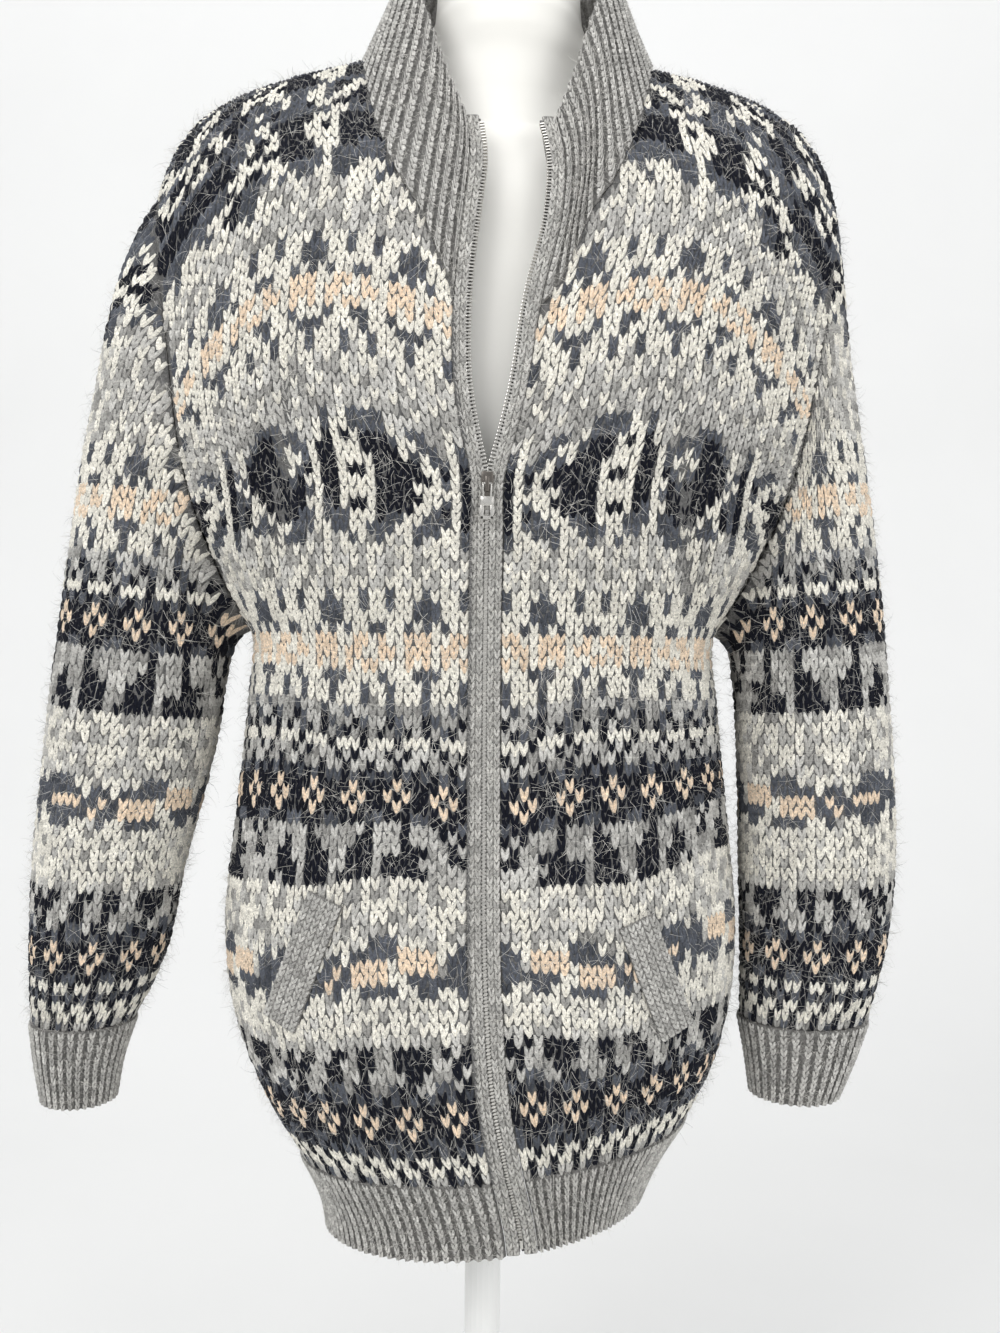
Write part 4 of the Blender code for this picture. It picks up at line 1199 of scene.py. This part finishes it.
def collar_grid():
    """Plain outer points of the collar over its rows and half ribs."""
    count = 2 * COLLAR_RIBS + 1
    base = along(neck_line(), count)
    share = np.linspace(0, 1, count)
    half = 1 - np.abs(2 * share - 1)
    side = np.where(share < 0.5, -1, 1)
    top_x = NECK_AXIS + side * read(COLLAR_TOP, 1, half)
    top = np.stack([top_x, read(COLLAR_TOP, 2, half), read(COLLAR_TOP, 3, half)], axis=-1)
    base = base + unit(top - base) * COLLAR_GAP
    rows = []
    parts = np.linspace(0, 1, 13)
    for part in parts:
        row = base + (top - base) * part
        away = unit(row - np.array([NECK_AXIS, 0, 0])) * [1, 1, 0]
        rows.append(row - away * COLLAR_HOLLOW * np.sin(np.pi * part))
    grid = np.array(rows)
    for column, front_side in ((0, RIGHT), (-1, LEFT)):
        low = NECK_SEAM_FRONT + COLLAR_GAP
        z = low + (COLLAR_CORNER - low) * parts
        x = band_edge(front_side, z)
        edge = np.stack([x, -depth(FRONT, x, z), z], axis=-1)
        shift = edge - grid[:, column]
        for k in range(COLLAR_EDGE_COLUMNS):
            weight = (1 + np.cos(np.pi * k / COLLAR_EDGE_COLUMNS)) / 2
            place = k if column == 0 else -1 - k
            grid[:, place] += shift * weight
    return grid


def hem_grid(side, face):
    """Plain outer points of a quarter of the hem, from its foot up."""
    share = np.linspace(0, 1, 57)
    rows = []
    for drop in np.linspace(HEM_RIB_HEIGHT, SEAM, 9):
        z = np.full_like(share, HEM_HEIGHT)
        for _ in range(6):
            middle = middle_x(side, face, z)
            x = middle + np.sin(share * np.pi / 2) * (side * half_width(side, z) - middle)
            z = rib_top(x) - drop
        rows.append(np.stack([x, face * depth(face, x, z), z], axis=-1))
    grid = np.array(rows)
    grid[:, -1, 1] = 0
    return grid


def cuff_grid(side):
    table = RIGHT_CUFF if side == RIGHT else LEFT_CUFF
    top = (RIGHT_SLEEVE if side == RIGHT else LEFT_SLEEVE)[-1][1] - SEAM
    turn = np.linspace(0, 2 * np.pi, 129)
    rows = []
    for drop in np.linspace(table[-1][0], 0, 9):
        inner_x, outer_x, half_depth = (read(table, c, drop) for c in (1, 2, 3))
        middle, reach = side * (inner_x + outer_x) / 2, (outer_x - inner_x) / 2
        ring = [middle + reach * np.cos(turn), half_depth * np.sin(turn), 0 * turn + top - drop]
        rows.append(np.stack(ring, axis=-1))
    return np.array(rows)


def cloth_of(grid, columns, rows, inside, closed=False):
    """A grid as a cloth whose columns and rows are counted in stitches."""
    u, v = np.linspace(0, columns, 4 * columns + 1), np.linspace(0, rows, 2 * rows + 1)
    across, up = np.meshgrid(u / columns, v / rows)
    places = between(grid, across.ravel(), up.ravel()).reshape(len(v), len(u), 3)
    normals = grid_normals(places)
    if closed:
        normals[:, 0] = normals[:, -1] = unit(normals[:, 0] + normals[:, -1])
    normals *= np.sign((normals * (places - np.array(inside))).sum())
    return Cloth(u, v, places, normals, np.ones((len(v), len(u))))


def ribbed(name, grid, ribs, rows, inside, closed=False, centre=0.5):
    """A ribbed shell with a chain of stitches along each rib."""
    cloth = cloth_of(grid, ribs, rows, inside, closed)

    def place(across, up):
        rise = RIB_RISE * (0.5 + 0.5 * np.cos(2 * np.pi * (across * ribs - centre)))
        return cloth.point(across * ribs, up * rows, rise - SUNK)

    # The shell's dark grey is painted shade in the furrows between the ribs.
    base = shell(name + " cloth", ribs * 6, rows, place, inside, RIB_FURROW_SHADE, closed)
    knit = chains(name + " stitches", cloth, ribs, rows, RIB_RISE, 0.62)
    return base, knit, cloth


def chains(name, cloth, ribs, rows, rise, wide):
    """Stitches one above another along the middle of each column."""
    mesh = arrayed(leg_template(0.22, 1.0), (ribs, rows))
    cell = places_of(mesh)
    block = len(cell) // (ribs * rows)
    number = np.arange(len(cell)) // block
    column = number % ribs
    shift = RNG.normal(0, 0.03, (ribs * rows, 2))[number]
    u = column + 0.5 + (cell[:, 0] - column - 0.5) * wide + shift[:, 0]
    v = np.clip(cell[:, 1] + shift[:, 1], 0.05, rows - 0.02)
    lift = cell[:, 2] * STITCH_DEPTH * 0.8 + rise - 0.0010
    set_places(mesh, cloth.point(u, v, lift))
    shade = 1 + 0.50 * (RNG.random(number.max() + 1) - 0.5)
    paint(mesh, np.array(RIB_GREY)[None] * shade[number][:, None])
    lay_out(mesh, u / ribs * 0.98 + 0.01, v / rows * 0.98 + 0.01)
    only_kept(mesh, np.ones(len(cell), bool), faces_in(cloth, ribs * 0.3, rows * 0.4, 0.4))
    mesh.name = name
    return linked(name, mesh, RIB)


# Strips beside the zip and the pocket welts


def front_cloth(x_at, z_at, columns, rows):
    """A cloth on the fronts' worn surface: x and z over stitch columns and rows."""
    u, v = np.linspace(0, columns, 4 * columns + 1), np.linspace(0, rows, 2 * rows + 1)
    across, up = np.meshgrid(u / columns, v / rows)
    x, z = x_at(across, up), z_at(across, up)
    places = np.stack([x, -depth(FRONT, x, z), z], axis=-1)
    normals = grid_normals(places)
    normals *= np.sign(-normals[..., 1].sum())
    return Cloth(u, v, places, normals, np.ones((len(v), len(u))))


def band_cloth(side, columns, rows):
    low = HEM_HEIGHT + HEM_TILT * float(zip_edge(side, HEM_HEIGHT))

    def z_at(across, up):
        return low + (COLLAR_CORNER - low) * up

    def x_at(across, up):
        z = z_at(across, up)
        return zip_edge(side, z) + side * BAND_WIDTH * across

    return front_cloth(x_at, z_at, columns, rows)


def welt_cloth(side, columns, rows):
    upper, lower = (np.array(p) for p in (RIGHT_WELT if side == RIGHT else LEFT_WELT))
    run = unit(lower - upper)
    wide = np.array([-run[1], run[0]]) * WELT_WIDTH

    def x_at(across, up):
        return lower[0] + (upper[0] - lower[0]) * up + wide[0] * (across - 0.5)

    def z_at(across, up):
        return lower[1] + (upper[1] - lower[1]) * up + wide[1] * (across - 0.5)

    return front_cloth(x_at, z_at, columns, rows)


def raised_strip(name, cloth, columns, rows, lift, thick, node):
    """A knitted strip proud of the fronts, rounded at its long edges."""

    def place(across, up):
        rounded = 0.0009 * (1 - (2 * across - 1) ** 6)
        return cloth.point(across * columns, up * rows, lift - 0.0009 + rounded - 0.0006)

    inside = (0, 0, 0.7)
    # The shell's dark grey is painted shade between the strip's stitches.
    base = shell(name + " cloth", 8, rows, place, inside, RIB_FURROW_SHADE, thick=thick)
    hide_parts(node)
    knit = chains(name + " stitches", cloth, columns, rows, lift + 0.0003, 0.95)
    halo = hairs(name + " hairs", cloth, 6 * rows, 0.004, 0.010, "rib_knit", margin=-1)
    return base, [knit, halo]


# Hairs of the mohair


def hairs(name, cloth, count, shortest, longest, slot, colours=None, margin=0.001):
    """Fine curled hairs that stand off a cloth."""
    strand = bmesh.new()
    bmesh.ops.create_grid(strand, x_segments=1, y_segments=3, size=0.5)
    mesh = arrayed(strand, (count,))
    cell = places_of(mesh)
    block = len(cell) // count
    number = np.arange(len(cell)) // block
    along_hair = cell[:, 1] + 0.5
    side_of = np.sign(cell[:, 0] - number)
    u = RNG.uniform(cloth.u[0] + 0.2, cloth.u[-1] - 0.2, count)
    v = RNG.uniform(cloth.v[0] + 0.2, cloth.v[-1] - 0.2, count)
    kept = cloth.at(cloth.keep, u, v) > margin
    root = cloth.at(cloth.places, u, v)
    normal = unit(cloth.at(cloth.normals, u, v))
    loose = unit(RNG.normal(0, 1, (count, 3)))
    flat = unit(loose - normal * (loose * normal).sum(axis=1, keepdims=True))
    other = np.cross(normal, flat)
    long = RNG.uniform(shortest, longest, count) * (0.6 + 0.4 * RNG.random(count))
    rise = RNG.uniform(0.25, 0.85, count)
    curl = RNG.uniform(-0.5, 0.5, count)
    t = along_hair
    n = number
    out = long[n] * rise[n] * (t - 0.35 * t**2)
    run = long[n] * np.sqrt(1 - rise[n] ** 2) * t
    bend = long[n] * curl[n] * t**2
    places = root[n] + normal[n] * (out + 0.0004)[:, None]
    places += flat[n] * run[:, None] + other[n] * bend[:, None]
    places[:, 2] -= long[n] * 0.12 * t**2
    width = HAIR_WIDTH * (1 - 0.6 * t)
    places += other[n] * (side_of * width / 2)[:, None]
    set_places(mesh, places)
    if colours is None:
        colours = np.tile(HAIR_COLOUR, (count, 1))
    paint(mesh, (colours * RNG.uniform(0.75, 1.15, (count, 1)))[n])
    lay_out(mesh, 0.05 + 0.9 * (n / count), t)
    only_kept(mesh, kept[n], False)
    mesh.name = name
    return linked(name, mesh, HALO)


def hair_colours(count):
    """Most hairs are pale; the rest are grey or slate."""
    colours = np.tile(HAIR_COLOUR, (count, 1))
    pick = RNG.random(count)
    colours[pick < 0.35] = GREY_HAIR
    colours[pick < 0.12] = SLATE_HAIR
    return colours


# Zip


def box_bevelled(bm, low, high, bevel=0.0):
    """A box between two corners, with its edges rounded off."""
    low, high = np.array(low), np.array(high)
    made = bmesh.ops.create_cube(bm, size=1)["verts"]
    bmesh.ops.scale(bm, vec=high - low, verts=made)
    bmesh.ops.translate(bm, vec=(low + high) / 2, verts=made)
    if bevel:
        edges = list(dict.fromkeys(e for v in made for e in v.link_edges))
        bmesh.ops.bevel(
            bm, geom=edges, offset=bevel, affect="EDGES", segments=2, profile=0.5, material=-1
        )


def corners_of(node):
    """Lowest and highest corner of a solid."""
    places = places_of(NODES[node].data)
    return places.min(axis=0), places.max(axis=0)


def metal_piece(name, bm, body, node, look):
    """A finished metal piece that stands for a solid of the zip."""
    bmesh.ops.recalc_face_normals(bm, faces=bm.faces)
    mesh = bpy.data.meshes.new(name)
    bm.to_mesh(mesh)
    bm.free()
    mesh.shade_smooth()
    mesh.set_sharp_from_angle(angle=np.radians(40))
    made = linked(name, mesh, look)
    if body != ROOT:
        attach(made, body)
    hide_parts(node)


def slider():
    """Slider with a waisted plate, a raised face and the bridge that holds the pull."""
    low, high = corners_of("zip_slider")
    middle = (low[0] + high[0]) / 2
    half = (high[0] - low[0]) / 2
    face = high[1] - SLIDER_STEM - SLIDER_PLATE
    tall = high[2] - low[2]
    bm = bmesh.new()
    bmesh.ops.create_cube(bm, size=1)
    long = [e for e in bm.edges if abs(e.verts[0].co.z - e.verts[1].co.z) > 0.5]
    bmesh.ops.subdivide_edges(bm, edges=long, cuts=2, use_grid_fill=True)
    for v in bm.verts:
        v.co.x *= SLIDER_WAISTS[round((v.co.z + 0.5) * 3)]
    bmesh.ops.scale(bm, vec=(2 * half, SLIDER_PLATE, tall), verts=bm.verts)
    bmesh.ops.translate(
        bm, vec=(middle, face + SLIDER_PLATE / 2, (low[2] + high[2]) / 2), verts=bm.verts
    )
    rims = [e for e in bm.edges if e.calc_face_angle(0) > 0.6]
    bmesh.ops.bevel(
        bm, geom=rims, offset=0.0005, affect="EDGES", segments=3, profile=0.5, material=-1
    )
    foot, crown = low[2] + 0.0036, high[2] - 0.0030
    box_bevelled(
        bm, (middle - 0.0011, low[1] + 0.0006, crown - 0.0014),
        (middle + 0.0011, face + 0.0004, crown), 0.0004,
    )
    box_bevelled(
        bm, (middle - 0.0011, low[1] + 0.0006, foot),
        (middle + 0.0011, face + 0.0004, foot + 0.0014), 0.0004,
    )
    box_bevelled(
        bm, (middle - 0.0012, low[1], foot), (middle + 0.0012, low[1] + 0.0012, crown), 0.0005
    )
    metal_piece("slider", bm, ROOT, "zip_slider", DARK_METAL)


def pull():
    """Pull: a loop round the bridge, and a plain tab with a slot near its end."""
    low, high = corners_of("zip_pull")
    middle = (low[0] + high[0]) / 2
    near, far = low[1], high[1]
    bm = bmesh.new()
    arm = 0.0013
    outer, inner = (high[0] - low[0]) / 2, (high[0] - low[0]) / 2 - 0.0017
    neck = high[2] - 0.0092

    def bar(left, right, bottom, top, bevel, thin=0.0):
        box_bevelled(
            bm, (middle + left, near + thin, bottom), (middle + right, far - thin, top), bevel
        )

    bar(-inner - arm / 2, -inner + arm / 2, neck, high[2], 0.0004)
    bar(inner - arm / 2, inner + arm / 2, neck, high[2], 0.0004)
    bar(-inner - arm / 2, inner + arm / 2, high[2] - 0.0013, high[2], 0.0004)
    bar(-outer, outer, neck - 0.0050, neck + 0.0008, 0.0004)
    bar(-outer, -outer + 0.0020, low[2], neck - 0.0044, 0.0004)
    bar(outer - 0.0020, outer, low[2], neck - 0.0044, 0.0004)
    bar(-outer, outer, low[2], low[2] + 0.0020, 0.0004)
    bar(-outer + 0.0008, outer - 0.0008, neck - 0.0042, neck, 0.0002, -0.0002)
    metal_piece("pull", bm, "zip_pull", "zip_pull", METAL)


def teeth(name, side):
    """The zip's teeth along one edge, from the hem to the collar's corner."""
    z = np.linspace(HEM_HEIGHT + 0.008, COLLAR_CORNER - 0.004, 2000)
    x = zip_edge(side, z)
    y = -depth(FRONT, x, z)
    length = np.append(0, np.cumsum(np.sqrt(np.diff(x) ** 2 + np.diff(y) ** 2 + np.diff(z) ** 2)))
    start = TOOTH_PITCH * (0.5 if side == RIGHT else 1.0)
    at = np.arange(start, length[-1], TOOTH_PITCH)
    height = np.interp(at, length, z)
    tooth = bmesh.new()
    box_bevelled(tooth, (-0.5, -0.5, -0.5), (0.5, 0.5, 0.5), 0.12)
    mesh = arrayed(tooth, (len(at),))
    cell = places_of(mesh)
    number = np.arange(len(cell)) // (len(cell) // len(at))
    local = cell - np.stack([number, 0 * number, 0 * number], axis=-1)
    edge = np.interp(height, z, x)
    ahead = np.interp(height + 0.001, z, x) - edge
    front = -depth(FRONT, edge, height)
    slope = -depth(FRONT, edge, height + 0.001) - front
    run = unit(np.stack([ahead, slope, np.full_like(ahead, 0.001)], axis=-1))
    out = unit(np.cross(run, np.array([1.0, 0, 0])) * -1)
    out = out * np.sign(-out[:, 1])[:, None]
    across = np.cross(out, run)
    across = across * (np.sign(across[:, 0]) * -side)[:, None]
    deep = np.where(height < SLIDER_MIDDLE, CLOSED_TEETH_DEEP, OPEN_TEETH_DEEP)
    origin = np.stack([edge, front, height], axis=-1) - out * deep[:, None]
    places = origin[number] + across[number] * (local[:, 0] * TOOTH_SIZE[0] + TOOTH_PAST_EDGE)[:, None]
    places += out[number] * (local[:, 1] * TOOTH_SIZE[1])[:, None]
    places += run[number] * (local[:, 2] * TOOTH_SIZE[2])[:, None]
    set_places(mesh, places)
    bm = bmesh.new()
    bm.from_mesh(mesh)
    bmesh.ops.recalc_face_normals(bm, faces=bm.faces)
    bm.to_mesh(mesh)
    bm.free()
    mesh.name = name
    return linked(name, mesh, METAL)


# Room, lights and camera


def make_room():
    floor, tree, shader = principled("pale floor")
    place = tree.nodes.new("ShaderNodeTexCoord").outputs["Object"]
    uneven = noise(tree, place, 3.0, 2.0)
    pale = tree.nodes.new("ShaderNodeRGB")
    pale.outputs[0].default_value = (0.81, 0.81, 0.80, 1)
    shaded = scaled(tree, pale.outputs[0], ranged(tree, uneven.outputs["Fac"], 0.99, 1.01))
    tree.links.new(shaded, shader.inputs["Base Color"])
    shader.inputs["Roughness"].default_value = 0.8
    bm = bmesh.new()
    steps = 24
    turn = np.linspace(0, np.pi / 2, steps)
    curve = [(-4.0, -0.0005)] + [(0.9 + 1.2 * np.sin(t), 1.2 * (1 - np.cos(t))) for t in turn]
    curve.append((2.1, 5.0))
    line = [bm.verts.new((-4.0, y, z)) for y, z in curve]
    edges = [bm.edges.new(pair) for pair in zip(line, line[1:])]
    swept = bmesh.ops.extrude_edge_only(bm, edges=edges)["geom"]
    moved = [g for g in swept if isinstance(g, bmesh.types.BMVert)]
    bmesh.ops.translate(bm, vec=(8.0, 0, 0), verts=moved)
    bmesh.ops.recalc_face_normals(bm, faces=bm.faces)
    bm.normal_update()
    if sum(f.normal.z for f in bm.faces) < 0:
        bmesh.ops.reverse_faces(bm, faces=bm.faces)
    mesh = bpy.data.meshes.new("floor")
    bm.to_mesh(mesh)
    bm.free()
    mesh.shade_smooth()
    made = bpy.data.objects.new("floor", mesh)
    mesh.materials.append(floor)
    bpy.context.scene.collection.objects.link(made)


def lamp(name, place, aim, size, power):
    data = bpy.data.lights.new(name, "AREA")
    data.shape = "DISK"
    data.size = size
    data.energy = power
    made = bpy.data.objects.new(name, data)
    bpy.context.scene.collection.objects.link(made)
    made.location = place
    made.rotation_euler = (Vector(aim) - Vector(place)).to_track_quat("-Z", "Y").to_euler()


def make_lights():
    lamp("key", (-1.6, -2.2, 2.3), (0, 0, 0.75), 1.6, 33)
    lamp("fill", (1.9, -2.0, 1.4), (0, 0, 0.7), 1.8, 17)
    lamp("back wall", (0.0, -0.4, 3.6), (0, 1.6, 0.9), 2.4, 32)
    world = bpy.data.worlds.new("soft room")
    bpy.context.scene.world = world
    world.use_nodes = True
    world.node_tree.nodes["Background"].inputs["Color"].default_value = (0.97, 0.98, 1.0, 1)
    world.node_tree.nodes["Background"].inputs["Strength"].default_value = 0.75


def make_colours():
    """Colours as the photo shows them, with no film look."""
    settings = bpy.context.scene.view_settings
    settings.view_transform = "Standard"
    settings.look = "None"
    settings.exposure = 0.0


def make_camera():
    data = bpy.data.cameras.new("camera")
    data.sensor_width = 36
    data.lens = 38.6
    made = bpy.data.objects.new("camera", data)
    bpy.context.scene.collection.objects.link(made)
    tilt = Matrix.Rotation(np.radians(90 - 1.06), 4, "X")
    roll = Matrix.Rotation(np.radians(0.8), 4, "Z")
    made.matrix_world = Matrix.Translation((0.0063, -1.0, 0.696)) @ tilt @ roll
    bpy.context.scene.camera = made


# The cardigan


def declare(base, pieces):
    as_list(pieces)


def knitted(name, cloth, columns, rows, chart, count):
    """Stitches and hairs over a cloth of the body or of a sleeve."""
    knit = stitches(name + " stitches", cloth, columns, rows, chart, KNIT)
    tints = hair_colours(count)
    halo = hairs(name + " hairs", cloth, count, *LONG_HAIR, "fair_isle_knit", tints)
    return [knit, halo]


def make_fronts():
    for side, word in SIDES:
        base = body_shell(word + " front cloth", side, FRONT)
        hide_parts(word + "_front")
        cloth = body_cloth(side, FRONT)
        pieces = knitted(word + " front", cloth, *BODY_STITCHES, BODY_CHART, FRONT_HAIRS)
        declare(base, pieces)


def make_back():
    bases = []
    pieces = []
    for side, word in SIDES:
        bases.append(body_shell("back " + word + " cloth", side, BACK))
        cloth = body_cloth(side, BACK)
        pieces += knitted("back " + word, cloth, *BODY_STITCHES, BODY_CHART, BACK_HAIRS)
    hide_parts("back")
    declare(bases[0], pieces[:2])
    declare(bases[1], pieces[2:])


def make_sleeves():
    for side, word in SIDES:
        base = sleeve_shell(word + " sleeve cloth", side)
        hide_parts(word + "_sleeve")
        cloth = sleeve_cloth(side)
        size = (SLEEVE_COLUMNS, SLEEVE_ROWS)
        pieces = knitted(word + " sleeve", cloth, *size, SLEEVE_CHART, SLEEVE_HAIRS)
        declare(base, pieces)


def make_rib_pieces():
    inside = (NECK_AXIS, 0, 1.05)
    base, knit, cloth = ribbed("collar", collar_grid(), COLLAR_CHAINS, COLLAR_ROWS, inside)
    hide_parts("collar")
    halo = hairs("collar hairs", cloth, COLLAR_HAIRS, *COLLAR_HAIR, "rib_knit")
    declare(base, [knit, halo])
    for side, word in SIDES:
        grid = cuff_grid(side)
        centre = tuple(grid[:, :-1].mean(axis=(0, 1)))
        base, knit, cloth = ribbed(word + " cuff", grid, CUFF_RIBS, CUFF_ROWS, centre, True)
        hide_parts(word + "_cuff")
        halo = hairs(word + " cuff hairs", cloth, RIB_HAIRS, *RIB_HAIR, "rib_knit")
        declare(base, [knit, halo])
        quarters = (
            (FRONT, word + " front hem", word + "_front_hem"),
            (BACK, "back hem " + word, "back_hem"),
        )
        for face, name, node in quarters:
            grid = hem_grid(side, face)
            base, knit, cloth = ribbed(name, grid, HEM_RIBS, HEM_ROWS, (0, 0, 0.33))
            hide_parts(node)
            halo = hairs(name + " hairs", cloth, RIB_HAIRS, *RIB_HAIR, "rib_knit")
            declare(base, [knit, halo])


def make_zip():
    for side, word in SIDES:
        cloth = band_cloth(side, *BAND_STITCHES)
        base, knit = raised_strip(
            word + " zip band", cloth, *BAND_STITCHES, 0.0009, 0.003, word + "_zip_band"
        )
        declare(base, knit)
        teeth(word + " zip teeth", side)
        cloth = welt_cloth(side, 5, 22)
        base, knit = raised_strip(
            word + " pocket welt", cloth, 5, 20, 0.0026, 0.0022, word + "_pocket_welt"
        )
        declare(base, knit)


def smooth_form():
    """The form's skin, with its throat run smoothly from the neck into the chest."""
    heights = np.concatenate(
        [
            np.linspace(0.440, 0.446, 4)[:-1],
            np.linspace(0.446, 1.030, 60)[:-1],
            np.linspace(1.030, 1.130, 60)[:-1],
            np.linspace(1.130, 1.186, 12)[:-1],
            np.linspace(1.186, 1.200, 12),
        ]
    )
    table = np.array(FORM_SKIN)
    wide, front, back, middle = (np.interp(heights, table[:, 0], c) for c in table.T[1:])
    throat = np.array(THROAT)
    deep = np.interp(heights, throat[:, 0], throat[:, 1], left=0, right=0)
    reach = np.interp(heights, throat[:, 0], throat[:, 2])
    bm = bmesh.new()
    bmesh.ops.create_grid(bm, x_segments=FORM_COLUMNS, y_segments=len(heights) - 1, size=0.5)
    for v in bm.verts:
        row = round((v.co.y + 0.5) * (len(heights) - 1))
        turn = 2 * np.pi * (v.co.x + 0.5)
        x = wide[row] * np.cos(turn)
        y = (front if np.sin(turn) < 0 else back)[row] * np.sin(turn)
        if y < 0 and abs(x) < reach[row]:
            bulge = deep[row] * (1 - (x / reach[row]) ** 2) ** 0.5
            y = -((-y) ** 5 + bulge**5) ** 0.2
        v.co = (x + middle[row], y, heights[row])
    bmesh.ops.remove_doubles(bm, verts=bm.verts, dist=0.00001)
    bmesh.ops.holes_fill(bm, edges=bm.edges, sides=0)
    inner = [v for v in bm.verts if 0.95 < v.co.z < 1.14]
    for _ in range(5):
        bmesh.ops.smooth_vert(
            bm, verts=inner, factor=0.5, use_axis_x=True, use_axis_y=True, use_axis_z=False
        )
    bmesh.ops.recalc_face_normals(bm, faces=bm.faces)
    mesh = bpy.data.meshes.new("form skin")
    bm.to_mesh(mesh)
    bm.free()
    mesh.shade_smooth()
    mesh.set_sharp_from_angle(angle=np.radians(50))
    made = linked("form skin", mesh, FORM_WHITE)
    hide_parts("form_torso")


def dress_solids():
    """Procedural finishes for the solids that stay in view."""
    looks = {
        "right_zip_tape": TAPE,
        "left_zip_tape": TAPE,
        "zip_bottom_stop": METAL,
        "form_pole": STAND_WHITE,
        "form_base": STAND_WHITE,
    }
    for node, look in looks.items():
        mesh = NODES[node].data
        mesh.materials.clear()
        mesh.materials.append(look)


make_fronts()
make_back()
make_sleeves()
make_rib_pieces()
make_zip()
slider()
pull()
smooth_form()
dress_solids()
make_room()
make_lights()
make_colours()
make_camera()
